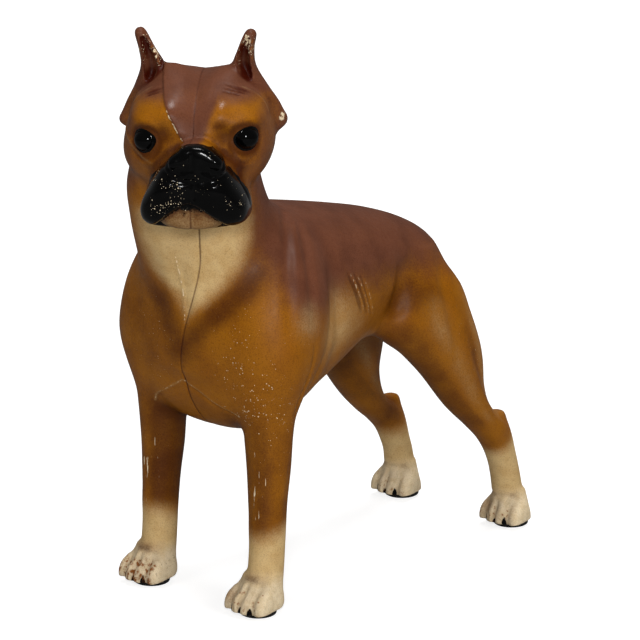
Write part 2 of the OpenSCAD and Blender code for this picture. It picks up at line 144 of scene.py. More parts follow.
class DogStage(bpy.types.PropertyGroup):
    """Camera."""

    turn: angle("Turn", "Camera's turn round the dog", 42)
    rise: angle("Rise", "Camera's height above the horizon", 15.2)
    distance: length("Distance", "Camera's distance from the aim", 1.45)
    aim: bpy.props.FloatVectorProperty(
        name="Aim", description="Point the camera looks at", subtype="TRANSLATION", default=(-0.00205, 0.0125, 0.0888))
    across: length("Across", "Width of the picture at the aim", 0.2304)


# ---------------------------------------------------------------- forms over sections


def smooth_rows(rows, n):
    """Fills in n steps between each two rows of sizes, along a smooth curve through all of them."""
    rows = np.array(rows, float)
    last = len(rows) - 1
    filled = []
    for i in range(last):
        a, b, c, d = (rows[min(max(i + k, 0), last)] for k in (-1, 0, 1, 2))
        for t in np.arange(n) / n:
            filled.append(
                b + (c - a) * t / 2 + (2 * a - 5 * b + 4 * c - d) * t**2 / 2 + (3 * b - a - 3 * c + d) * t**3 / 2)
    return np.array(filled + [rows[last]])


def skin(rows, sides=72, steps=6, swells=()):
    """Points and triangles of a closed skin over sections.

    A section is [x, y, z, turn, tilt, half width, size ahead, size behind, fullness], and a swell is
    [place, reach, height] on both sides of the middle.
    """
    rows = smooth_rows(rows, steps)
    n = len(rows)
    x, y, z, turn, tilt, half, ahead, behind, full = (rows[:, k, None] for k in range(9))
    turn, tilt = np.radians(turn), np.radians(tilt)
    a = np.linspace(0, 2 * math.pi, sides, endpoint=False)[None]
    wide = half * np.sign(np.cos(a)) * np.abs(np.cos(a)) ** (2 / full)
    deep = np.where(np.sin(a) > 0, ahead, behind) * np.sign(np.sin(a)) * np.abs(np.sin(a)) ** (2 / full)
    points = np.stack([
        x + np.cos(turn) * wide + np.sin(turn) * np.sin(tilt) * deep,
        y + np.sin(turn) * wide - np.cos(turn) * np.sin(tilt) * deep,
        z + np.cos(tilt) * deep], -1)
    out = points - rows[:, None, :3]
    out /= np.maximum(np.linalg.norm(out, axis=-1, keepdims=True), 0.01)
    rise = np.zeros(points.shape[:2])
    for place, reach, height in swells:
        d = (points - place) / reach
        d[..., 0] = (np.abs(points[..., 0]) - place[0]) / reach[0]
        rise = rise + height * np.exp(-(d**2).sum(-1))
    points = (points + out * rise[..., None]).reshape(-1, 3)
    points = np.vstack([points, rows[0, :3], rows[-1, :3]])
    faces = []
    k = np.arange(sides)
    for i in range(n - 1):
        p, q = i * sides + k, i * sides + (k + 1) % sides
        faces += [np.stack([p, q, p + sides], 1), np.stack([q, q + sides, p + sides], 1)]
    end = (n - 1) * sides
    faces += [
        np.stack([np.full(sides, n * sides), (k + 1) % sides, k], 1),
        np.stack([np.full(sides, n * sides + 1), end + k, end + (k + 1) % sides], 1)]
    return points, np.vstack(faces)


def to_head(p):
    """World millimetres to the head's own frame, which faces -Y with the eyes at height 0."""
    x, y = p[0] - MIDDLE[0], p[1] - MIDDLE[1] - PIVOT_Y
    c, s = math.cos(math.radians(HEAD_TURN)), math.sin(math.radians(HEAD_TURN))
    return c * x + s * y, -s * x + c * y + HEAD_REACH, p[2] - EYE_Z


def from_head(points):
    """Points in the head's own frame to world millimetres."""
    points = np.array(points, float)
    x, y = points[:, 0], points[:, 1] - HEAD_REACH
    c, s = math.cos(math.radians(HEAD_TURN)), math.sin(math.radians(HEAD_TURN))
    return np.stack([c * x - s * y, s * x + c * y + PIVOT_Y, points[:, 2] + EYE_Z], 1) + MIDDLE


def ease(v):
    """A smooth step from 0 to 1."""
    t = np.clip(v, 0, 1)
    return t * t * (3 - 2 * t)


def joint_side(p):
    """Millimetres to the left of the casting joint, which is flat through the trunk and turns with the head."""
    x, y, z = p[0] - MIDDLE[0], p[1] - MIDDLE[1] - PIVOT_Y, p[2]
    front = HEAD_TURN * ease((z - KEEL - 22) / 46)
    back = HEAD_TURN * ease((z - WITHERS - 6) / 24)
    turn = np.radians(np.where(y < 0, front, back))
    return x * np.cos(turn) + y * np.sin(turn)


# ---------------------------------------------------------------- tables of sections, close to the part's


def rib(share, top, keel, half, full):
    mid = keel + (top - keel) * 0.52
    return [0, CHEST_Y + (RUMP_Y - CHEST_Y) * share, mid, 0, 0, half, top - mid, mid - keel, full]


TRUNK = [
    rib(-0.012, WITHERS - 38, KEEL + 31, CHEST_W / 2 - 28, 2.0),
    rib(0.00, WITHERS - 31, KEEL + 23, CHEST_W / 2 - 16, 2.1),
    rib(0.03, WITHERS - 20, KEEL + 10.5, CHEST_W / 2 - 5, 2.35),
    rib(0.09, WITHERS - 8, KEEL + 2.2, CHEST_W / 2 + 0.6, 2.4),
    rib(0.165, WITHERS - 2, KEEL - 0.4, CHEST_W / 2 + 0.8, 2.35),
    rib(0.265, WITHERS, KEEL + 2.5, CHEST_W / 2 - 1.5, 2.25),
    rib(0.375, WITHERS - FALL * 0.16, KEEL + TUCK * 0.27, CHEST_W / 2 - 5, 2.2),
    rib(0.50, WITHERS - FALL * 0.36, KEEL + TUCK * 0.53, CHEST_W / 2 - 8, 2.2),
    rib(0.625, WITHERS - FALL * 0.58, KEEL + TUCK * 0.84, CHEST_W / 2 - 11, 2.2),
    rib(0.735, WITHERS - FALL * 0.80, KEEL + TUCK * 1.04, LOIN_W / 2, 2.2),
    rib(0.83, HIP - 1.2, KEEL + TUCK * 1.05, HIP_W / 2 - 2, 2.2),
    rib(0.91, HIP - 7, KEEL + TUCK, HIP_W / 2 - 8, 2.2),
    rib(0.965, HIP - 14.5, KEEL + TUCK + 1, HIP_W / 2 - 14, 2.1),
    rib(1.00, HIP - 22, KEEL + TUCK + 6, HIP_W / 2 - 19, 2.0),
]
TRUNK_SWELLS = [
    [(CHEST_W / 2 - 3, FORE_Y + 15, KEEL + 45), (15, 11, 24), 2.2],
    [(CHEST_W / 2 - 3, FORE_Y + 4, KEEL + 26), (14, 10, 16), 2.4],
    [(CHEST_W / 2 - 3, FORE_Y + 33, KEEL + 46), (14, 4.5, 24), -2.2],
    [(LOIN_W / 2, HIND_Y - 42, KEEL + 40), (14, 11, 15), -2.2],
    [(0, CHEST_Y, KEEL + 36), (6, 9, 14), 2],
    [(0, CHEST_Y + 2, KEEL + 12), (7, 12, 9), -1.5],
]


def nape(x, y, z, turn, tilt, half, front, back, full):
    return [x, y, z, HEAD_TURN * turn, tilt, half, front, back, full]


NECK = [
    nape(0, FORE_Y + 20, KEEL + 30, 0, 100, CHEST_W / 2 - 5, 28.5, 22, 2.2),
    nape(0, FORE_Y + 14, KEEL + 48, 0.12, 106, NECK_W / 2 + 8, 25.5, 24, 2.15),
    nape(-0.5, FORE_Y + 7, KEEL + 64, 0.45, 110, NECK_W / 2 + 4, 22.5, 23, 2.1),
    nape(0.5, FORE_Y - 1, WITHERS + 1, 0.8, 108, NECK_W / 2 + 1, 20.5, 22, 2.1),
    nape(3, FORE_Y - 6, WITHERS + 14, 1, 106, NECK_W / 2, 19, 23.5, 2.1),
    nape(6, FORE_Y - 8, WITHERS + 29, 1, 102, NECK_W / 2 - 3, 16, 24, 2.1),
]


def skull(ahead, mid, half, up, down, full):
    return [0, -ahead, mid, 0, 0, half, up, down, full]


SKULL = [
    skull(22.5, 0, SKULL_W / 2 - 16, SKULL_TOP - 16, 8, 2.2),
    skull(20, 0, SKULL_W / 2 - 9, SKULL_TOP - 11, 13, 2.4),
    skull(13, 0, SKULL_W / 2 - 2.5, SKULL_TOP - 4.5, 18, 2.5),
    skull(3, 0, SKULL_W / 2, SKULL_TOP - 0.5, 21, 2.4),
    skull(-8, 0, SKULL_W / 2 - 0.5, SKULL_TOP, 22, 2.3),
    skull(-18, -1, SKULL_W / 2 - 3.5, SKULL_TOP - 1.5, 20, 2.2),
    skull(-26, -2, SKULL_W / 2 - 10, SKULL_TOP - 7, 14, 2.1),
    skull(-29.5, -2, SKULL_W / 2 - 18, SKULL_TOP - 16, 7, 2),
]
SKULL_SWELLS = [
    [(11, -15, 10), (7, 8, 5), 2.4],
    [(EYE_GAP / 2, -18.5, 0), (5.2, 7, 4.4), -2.4],
    [(SKULL_W / 2 - 2, -3, -9), (8, 10, 9), 0.6],
    [(10.5, 2, SKULL_TOP - 1), (5, 8, 6), 2.8],
    [(0, -6, SKULL_TOP), (3.5, 20, 16), -2],
    [(0, -23, 3), (4, 6, 6), -1.5],
]
# Each eye's place across the head and its height: the left one sits a little higher
EYES = ((EYE_GAP / 2 + 0.6, 1.9), (-EYE_GAP / 2, 0.4))
MUZZLE = [
    skull(NOSE_REACH + 1.5, -11, MUZZLE_W / 2 - 9.5, 6, 8, 2.4),
    skull(NOSE_REACH + 0.3, -11.5, MUZZLE_W / 2 - 4.5, 8.5, LIP_DROP - 17, 2.8),
    skull(NOSE_REACH - 4, -12, MUZZLE_W / 2 - 1.2, 11, LIP_DROP - 13, 3.0),
    skull(NOSE_REACH - 12, -12.5, MUZZLE_W / 2, 10.2, LIP_DROP - 12.2, 3.0),
    skull(NOSE_REACH - 21, -13, MUZZLE_W / 2 + 0.5, 8.0, LIP_DROP - 13, 2.8),
    skull(NOSE_REACH - 30, -13, MUZZLE_W / 2 - 1.5, 7, LIP_DROP - 15, 2.4),
]
NOSE = [
    skull(NOSE_REACH + 2.8, -3.8, NOSE_W / 2 - 4.5, NOSE_H / 2 - 2.2, NOSE_H / 2 - 2.4, 2.2),
    skull(NOSE_REACH + 1.9, -3.8, NOSE_W / 2 - 1.3, NOSE_H / 2 + 0.5, NOSE_H / 2 - 0.6, 2.5),
    skull(NOSE_REACH - 1.5, -3.6, NOSE_W / 2, NOSE_H / 2 + 1.2, NOSE_H / 2, 2.6),
    skull(NOSE_REACH - 9, -3, NOSE_W / 2 - 1, NOSE_H / 2 + 0.8, NOSE_H / 2, 2.4),
    skull(NOSE_REACH - 14.5, -3.6, NOSE_W / 2 - 2.5, NOSE_H / 2 - 0.4, NOSE_H / 2, 2.2),
]
CHIN = [
    skull(NOSE_REACH - 1.5, -22.4, 5, 4, 3, 2.2),
    skull(NOSE_REACH - 3, -22.4, 9, 7, 4.4, 2.4),
    skull(NOSE_REACH - 8, -22.4, 12, 9, 5.0, 2.5),
    skull(NOSE_REACH - 18, -22, 13.5, 10, 5.0, 2.5),
    skull(NOSE_REACH - 28, -21, 14, 10, 3, 2.4),
]


def ear_row(z, out, ahead, half, front, back):
    return [EAR_GAP / 2 + out, -ahead, z, 0, 90, half, front, back, 2]


EAR = [
    ear_row(-3, 0.4, -8, 4.6, 2.6, 3.6),
    ear_row(1.6, 2.9, -8.8, 7.4, 4, 5),
    ear_row(8, 1.5, -7.5, 7.3, 5.2, 5.5),
    ear_row(15, -0.9, -5.6, 5.8, 6, 5.5),
    ear_row(SKULL_TOP + 1, -2.4, -4, 4.2, 5.4, 4.8),
    ear_row(EAR_TIP - 7, -1.1, -3, 2.9, 3.6, 3.4),
    ear_row(EAR_TIP - 1.8, 0.6, -3, 2.2, 2.4, 2.3),
    ear_row(EAR_TIP, 0.8, -3, 1, 1.1, 1.1),
]
EAR_CUP = [
    ear_row(11, -1.8, -0.2, 1.2, 4, 2.0),
    ear_row(15, -2.0, 0.4, 2.0, 5, 3.0),
    ear_row(SKULL_TOP - 1, -2.2, 0.6, 2.4, 5.5, 3.6),
    ear_row(SKULL_TOP + 5, -2.0, 0.4, 1.9, 4.5, 3.0),
    ear_row(EAR_TIP - 3.0, -0.2, 0.0, 0.9, 2.6, 1.8),
]


def leg(x, y, z, tilt, half, front, back, full=2):
    return [x, y, z, 0, tilt, half, front, back, full]


FORE_LEG = [
    leg(FORE_X, FORE_Y + 3, PAD_T + 2, 90, FORE_SHANK / 2 + 0.1, 7.4, 5.6),
    leg(FORE_X, FORE_Y + 4.5, PAD_T + 13, 94, FORE_SHANK / 2, 7.0, 5.4),
    leg(FORE_X, FORE_Y + 5.5, 28, 92, FORE_SHANK / 2, 7.0, 5.4),
    leg(FORE_X - 0.2, FORE_Y + 6, 40, 90, FORE_SHANK / 2 + 0.6, 7.6, 5.8),
    leg(FORE_X - 0.4, FORE_Y + 7, KEEL - 10, 88, FORE_SHANK / 2 + 1.5, 8.8, 6.2),
    leg(FORE_X - 0.5, FORE_Y + 7.5, KEEL + 5, 88, FORE_SHANK / 2 + 2.3, 10.5, 6.8, 2.1),
    leg(FORE_X - 0.6, FORE_Y + 8.5, KEEL + 19, 90, FORE_SHANK / 2 + 3.8, 13.3, 10.4, 2.1),
    leg(FORE_X - 2, FORE_Y + 10.5, KEEL + 36, 92, FORE_SHANK / 2 + 5.1, 17, 16, 2.1),
    leg(FORE_X - 5, FORE_Y + 14, KEEL + 54, 94, FORE_SHANK / 2 + 5.5, 17, 18, 2.1),
]


def hind_leg(drop, back):
    """A hind leg whose hock stands lower by drop, and whose shank stands further back."""
    hock, y = HOCK - drop, HIND_Y + back
    return [
        leg(HIND_X, HIND_Y - 1, PAD_T + 2, 90, HIND_SHANK / 2 + 0.3, 7, 5.4),
        leg(HIND_X, HIND_Y - 2.5 + back * 0.4, PAD_T + 13, 100, HIND_SHANK / 2, 5.9, 5.4),
        leg(HIND_X, y - 6, hock - 14, 107, HIND_SHANK / 2, 5.0, 5.6),
        leg(HIND_X, y - 11.5, hock - 4, 116, HIND_SHANK / 2 + 0.6, 5.2, 7.2),
        leg(HIND_X - 0.3, HIND_Y - 19, hock + 5, 124, HIND_SHANK / 2 + 1.4, 6.2, 5.8),
        leg(HIND_X - 1, HIND_Y - 27, hock + 15, 118, HIND_SHANK / 2 + 2.6, 8.6, 9.2),
        leg(HIND_X - 2, HIND_Y - 34.5, hock + 29, 110, HIND_SHANK / 2 + 4.4, 12.6, 14.8),
        leg(HIND_X - 4.5, HIND_Y - 42, hock + 44, 102, HIND_SHANK / 2 + 5.8, 18, 18, 2.1),
        leg(HIND_X - 8, HIND_Y - 45.5, HOCK + 58, 94, HIND_SHANK / 2 + 6.2, 19.5, 18, 2.1),
        leg(HIND_X - 13.5, HIND_Y - 45, HOCK + 72, 90, HIND_SHANK / 2 + 3.7, 13, 9.5, 2),
    ]


def heel(drop, back):
    """The pointed heel of the hock, above the shank's back."""
    hock, y = HOCK - drop, HIND_Y + back
    return [
        leg(HIND_X, y - 6.5, hock - 14, 90, 3.6, 4.5, 4.6, 2.2),
        leg(HIND_X, y - 8.4, hock - 4, 90, 3.7, 5, 4.8, 2.4),
        leg(HIND_X - 0.2, y - 10.2, hock + 2.8, 90, 3.3, 5, 4.8, 2.6),
        leg(HIND_X - 0.3, y - 11, hock + 4.8, 90, 2.7, 4.5, 4.2, 2.6),
    ]


FORE_PAW_BACK, HIND_PAW_BACK = 8.2, 5.2


def paw(back):
    """A wedge from the ankle down to the toes, flush with the leg's back."""
    return [
        leg(0, 0, PAD_T - 3, 90, PAW_W / 2 - 1.2, PAW_L / 2 - 1, max(back, PAD_D / 2 + 0.4), 2.4),
        leg(0, 0, PAD_T + 3, 90, PAW_W / 2 - 1.4, PAW_L / 2 - 1.6, back + 0.6, 2.3),
        leg(0, 0, PAD_T + TOE_H - 3, 90, PAW_W / 2 - 2, PAW_L / 2 - 4.4, back - 0.8, 2.2),
        leg(0, 0, PAD_T + TOE_H + 2.4, 90, PAW_W / 2 - 3.2, PAW_L / 2 - 7, back - 2.2, 2),
    ]


TOES = (-1.5, -0.5, 0.5, 1.5)
TAIL_L = 9.0
TAIL = [
    leg(0, RUMP_Y + TAIL_L * 0.3, HIP - 25 - TAIL_L * 0.55, 140, 2.4, 2.2, 2.2),
    leg(0, RUMP_Y + TAIL_L * 0.2, HIP - 25 - TAIL_L * 0.42, 140, 4, 3.6, 3.6),
    leg(0, RUMP_Y - 4, HIP - 23, 140, 5, 4.8, 4.8),
    leg(0, RUMP_Y - 11, HIP - 17, 140, 5.5, 5, 5),
]


# ---------------------------------------------------------------- clay


def melt(a, b, k):
    """The nearer of two distances, with a fillet of about k where they meet."""
    if k <= 0:
        return np.minimum(a, b)
    h = np.maximum(k - np.abs(a - b), 0) / k
    return np.minimum(a, b) - h * h * k / 4


class Clay:
    """Distances to a surface in mm, negative inside, on a block of cells."""

    BAND = 14

    def __init__(self, low, high, cell):
        self.cell = cell
        self.first = np.floor(np.array(low) / cell).astype(int)
        shape = np.ceil(np.array(high) / cell).astype(int) - self.first + 1
        self.d = np.full(tuple(shape), self.BAND * cell, np.float32)

    def window(self, low, high):
        """The cells between two corners, and their three coordinates."""
        lo = np.maximum(np.floor(np.array(low) / self.cell).astype(int) - self.first, 0)
        hi = np.minimum(np.ceil(np.array(high) / self.cell).astype(int) - self.first + 1, self.d.shape)
        cut = tuple(slice(a, max(a, b)) for a, b in zip(lo, hi))
        axes = [(np.arange(s.start, s.stop) + f) * self.cell for s, f in zip(cut, self.first)]
        return cut, np.ix_(*[a.astype(np.float32) for a in axes])

    def press_form(self, points, faces, blend=0.0, cut_out=False):
        """Melts a closed skin into the clay, or cuts it out."""
        edge = self.BAND * self.cell
        cut, _ = self.window(points.min(0) - edge, points.max(0) + edge)
        grid = openvdb.FloatGrid.createLevelSetFromPolygons(
            np.ascontiguousarray(points, np.float32), triangles=np.ascontiguousarray(faces, np.uint32),
            transform=openvdb.createLinearTransform(self.cell), halfWidth=float(self.BAND))
        part = np.empty([s.stop - s.start for s in cut], np.float32)
        grid.copyToArray(part, ijk=tuple(int(s.start + f) for s, f in zip(cut, self.first)))
        if cut_out:
            self.d[cut] = -melt(-self.d[cut], part, blend)
        else:
            self.d[cut] = melt(self.d[cut], part, blend)

    def join(self, other, blend):
        """Melts another block of clay into this one, where the two blocks overlap."""
        start = np.maximum(other.first, self.first)
        stop = np.minimum(other.first + other.d.shape, self.first + self.d.shape)
        here = tuple(slice(a, b) for a, b in zip(start - self.first, stop - self.first))
        there = tuple(slice(a, b) for a, b in zip(start - other.first, stop - other.first))
        self.d[here] = melt(self.d[here], other.d[there], blend)

    def at(self, points):
        """Distances at points, read between the cells."""
        g = np.array(points) / self.cell - self.first
        g = np.clip(g, 0, np.array(self.d.shape) - 1.001)
        i = g.astype(int)
        f = g - i
        total = 0
        for k in range(8):
            o = np.array([k & 1, k >> 1 & 1, k >> 2])
            w = np.prod(np.where(o, f, 1 - f), 1)
            j = i + o
            total = total + w * self.d[j[:, 0], j[:, 1], j[:, 2]]
        return total

    def outward(self, points):
        """Directions straight out of the surface at points."""
        e = self.cell
        steps = np.eye(3) * e
        g = np.stack([self.at(points + s) - self.at(points - s) for s in steps], 1)
        return g / np.maximum(np.linalg.norm(g, axis=1, keepdims=True), 1e-6)

    def settle(self, points):
        """Moves points straight onto the surface."""
        points = np.array(points, float)
        for _ in range(6):
            points = points - self.outward(points) * self.at(points)[:, None] * 0.9
        return points

    def swell(self, centre, reach, height, head=False):
        """Raises the surface by a soft mound, or lowers it by a negative height."""
        middle = from_head([centre])[0] if head else np.array(centre) + MIDDLE
        edge = 2.6 * max(reach)
        cut, (x, y, z) = self.window(middle - edge, middle + edge)
        a = math.radians(HEAD_TURN if head else 0)
        u = math.cos(a) * (x - middle[0]) + math.sin(a) * (y - middle[1])
        v = -math.sin(a) * (x - middle[0]) + math.cos(a) * (y - middle[1])
        flat = np.exp(-((u / reach[0]) ** 2) - (v / reach[1]) ** 2)
        self.d[cut] -= height * flat * np.exp(-(((z - middle[2]) / reach[2]) ** 2))

    def crease(self, points, width, depth, head=False):
        """Presses a groove along points that lie near the surface, or raises a ridge by a negative depth."""
        points = from_head(points) if head else np.array(points, float) + MIDDLE
        fine = smooth_rows(points, 6) if len(points) > 2 else np.linspace(points[0], points[1], 8)
        fine = self.settle(fine)
        run = np.concatenate([[0], np.cumsum(np.linalg.norm(np.diff(fine, axis=0), axis=1))])
        cut, (x, y, z) = self.window(fine.min(0) - 3 * width, fine.max(0) + 3 * width)
        best = np.full(np.broadcast_shapes(x.shape, y.shape, z.shape), 1e6, np.float32)
        along = np.zeros_like(best)
        for a, b, s, t in zip(fine[:-1], fine[1:], run[:-1], run[1:]):
            ab = b - a
            if t - s < 1e-4:
                continue
            m = np.clip(((x - a[0]) * ab[0] + (y - a[1]) * ab[1] + (z - a[2]) * ab[2]) / (ab @ ab), 0, 1)
            q = (x - a[0] - m * ab[0]) ** 2 + (y - a[1] - m * ab[1]) ** 2 + (z - a[2] - m * ab[2]) ** 2
            near = q < best
            best = np.where(near, q, best)
            along = np.where(near, s + m * (t - s), along)
        fade = ease(along / (run[-1] * 0.25)) * ease((run[-1] - along) / (run[-1] * 0.25)) * 0.8 + 0.2
        self.d[cut] += depth * fade * np.exp(-((np.sqrt(best) / width) ** 2.0))


# Lines in the head's frame: wrinkles of the forehead, and a fine ridge from each ear's foot round the cheek,
# on the right also under the eye
WRINKLES = (
    [(-18.4, -10, 15.4), (-15.6, -11, 17.6), (-12.6, -11.6, 19.0)],
    [(-17.4, -11.5, 14.2), (-15, -12.2, 16.2), (-12.6, -12.8, 17.4)],
    [(9.6, -11.5, 18.8), (13.4, -11, 17.8), (17.0, -9.6, 15.8)],
    [(10.2, -10, 20.0), (14.4, -9.6, 18.8), (18.6, -8, 16.6)],
    [(9.0, -13, 17.6), (12, -12.6, 16.8), (14.8, -12, 15.4)])
CHEEK_RIDGES = (
    [(-16.9, -8, 18.2), (-20.4, -6, 11.4), (-23.4, -4, 4.1), (-22.9, -10, 0.7), (-21, -15, -2.5),
     (-17.7, -19, -5.4), (-15, -22, -6.8)],
    [(16.6, -8, 19.9), (19.4, -6, 15.9), (23.0, -4, 10.7), (25.0, -3, 5)])
# Lines on the body: creases over the last ribs on the left, the breast's lower folds, and flash on the throat
RIB_CREASES = [
    [(30.5, -26.1 + k, 115.6 - k * 0.3), (31.2, -22.7 + k, 109.0 - k * 0.4), (30.6, -18.2 + k, 100.3 - k * 0.4)]
    for k in (0, 4, 7.6)]
BREAST_FOLDS = (
    [(-1.4, -75.4, 81.8), (-9, -74, 77.6), (-17.8, -71.4, 72.8), (-20.5, -70.4, 69)],
    [(-1.4, -75.4, 81.8), (6, -74.5, 78.6), (13, -72.5, 75), (20.5, -70.6, 71.5)])
FLASH = [(4.6, -84.7, 128.5), (3.6, -80.2, 115.3), (3.4, -79.1, 104.5)]


def mirrored(line, side):
    """A line on the left side, or the same line on the right for side -1."""
    return [(side * x, y, z) for x, y, z in line]


def model_marks(clay, marks, side, depth, head=False):
    """Presses creases, given as (line, width, depth), and raises mounds, given as (middle, reach, height)."""
    for place, size, height in marks:
        if isinstance(place, list):
            clay.crease(mirrored(place, side), size, height * depth, head)
        else:
            clay.swell(mirrored([place], side)[0], size, height, head)


# ---------------------------------------------------------------- the head


def muzzle_taper(points):
    """Draws the muzzle in towards the nose, as the lips widen downwards."""
    points = points.copy()
    heights = [-27, -25.9, -22, -19.5, -13.6, -9.3, -5, 0, 3]
    points[:, 0] *= np.interp(points[:, 2], heights, [1.2, 1.2, 1.05, 0.98, 0.86, 0.74, 0.62, 0.55, 0.5])
    points[:, 0] += MUZZLE_SET * 0.4
    return points


def nose_taper(points):
    """Narrows the nose towards its top."""
    points = points.copy()
    points[:, 0] *= np.interp(points[:, 2], [-9, -6, -2, 2], [1.0, 1.08, 0.92, 0.62])
    points[:, 0] += MUZZLE_SET
    return points


def ledge(hz):
    """How far the edge beside the forehead's middle lies to the right of it, at each height."""
    heights = [-2, -0.3, 3.1, 6.7, 9, 12.5, 14.8, 19, 24]
    return np.interp(hz, heights, [-1.6, -2.3, -4.7, -6.6, -7.9, -9.6, -10.6, -12.0, -12.8])


def eye_dome(hx, hy, hz, eye):
    """Millimetres outside an eye's dome."""
    share = np.sqrt(((hx - eye[0]) / 4.45) ** 2 + ((hy + 16.9) / 3.6) ** 2 + ((hz - eye[1]) / 3.85) ** 2)
    return (share - 1) * 3.7


def face_mounds(side):
    """Brow, brow's end, inner corner of the eye, bag below the eye, cheek and temple of one side."""
    return [
        ((9.0, -20.5, 9.8), (4.6, 5, 3.6), 1.3),
        ((17.0, -15.5, 7.6), (6.0, 6, 2.6), 1.5),
        ((10.6, -21.5, 3.0), (3.4, 5, 3.4), -1.5),
        ((16.5, -20.0, -6.4), (4.6, 5, 2.2), 0.9),
        ((23.5, -4.0, -8.0), (6, 9, 8), -0.6 if side > 0 else 1.2),
        ((24.5, -2.0, 6.5), (4, 7, 5), -0.9),
    ]


def nose_marks(s):
    """Nostril, the crease round its wing, the wing, and the crease below, on one side of the nose's middle."""
    mid = MUZZLE_SET
    return [
        ((mid + s * 5.2, -37.2, -5.6), (2.4, 2.6, 1.3), -2.0),
        ([(mid + s * 3.8, -36.8, -6.8), (mid + s * 6.8, -36.4, -6.4), (mid + s * 9.2, -34.6, -4.6),
          (mid + s * 9.4, -32.5, -2.0)], 0.8, 1.2),
        ((mid + s * 7.6, -36.0, -3.0), (2.0, 2.6, 2.2), 0.7),
        ([(mid + s * 1.2, -36, -9.4), (mid + s * 6, -35.5, -9.4), (mid + s * 11, -32, -7.4)], 0.9, 0.9),
    ]


# The cleft from the nose down to the lips
CLEFT = [
    ([(MUZZLE_SET - 1, -37, 1.0), (MUZZLE_SET - 1, -37.2, -3), (MUZZLE_SET - 1, -36.6, -7.5)], 0.7, 0.5),
    ([(MUZZLE_SET - 1, -36.5, -8), (MUZZLE_SET - 0.5, -36, -12), (MUZZLE_SET, -35.4, -17)], 0.7, 0.8),
]
# The fold between muzzle and cheek, and the lower lid
CHEEK_FOLD = (
    [(4.4, -25.5, 2.2), (8.6, -25, -1.6), (13.0, -23.5, -6.8), (16.8, -22, -12.5), (18.4, -21, -19.5)], 1.1, 1.5)
LOWER_LID = ([(12.2, -21, -1.6), (14.2, -20.5, -5.2), (17.4, -19.5, -6.4), (21.5, -16.5, -4.2)], 0.7, 0.7)
# Fine folds beside the left of the muzzle, the forehead's wrinkles and cheeks' ridges, and the forehead's middle
FACE_LINES = [
    *(([(7.6 + k * 2.2, -24, 0.6 + k * 0.4), (11.8 + k * 2, -22.5, -3.4 - k * 0.2),
        (15.4 + k * 1.8, -21, -8.2 - k), (18 + k * 1.4, -19, -13.6 - k)], 0.55, 0.55 - 0.1 * k) for k in (0, 1, 2)),
    *((line, 0.55, 0.85) for line in WRINKLES),
    *((line, 0.7, -0.4) for line in CHEEK_RIDGES),
    ([(0, 2, SKULL_TOP), (0, -8, 19.5), (0, -16, 14), (0, -21, 8), (0, -23.5, 3.5)], 1.6, 0.35),
]


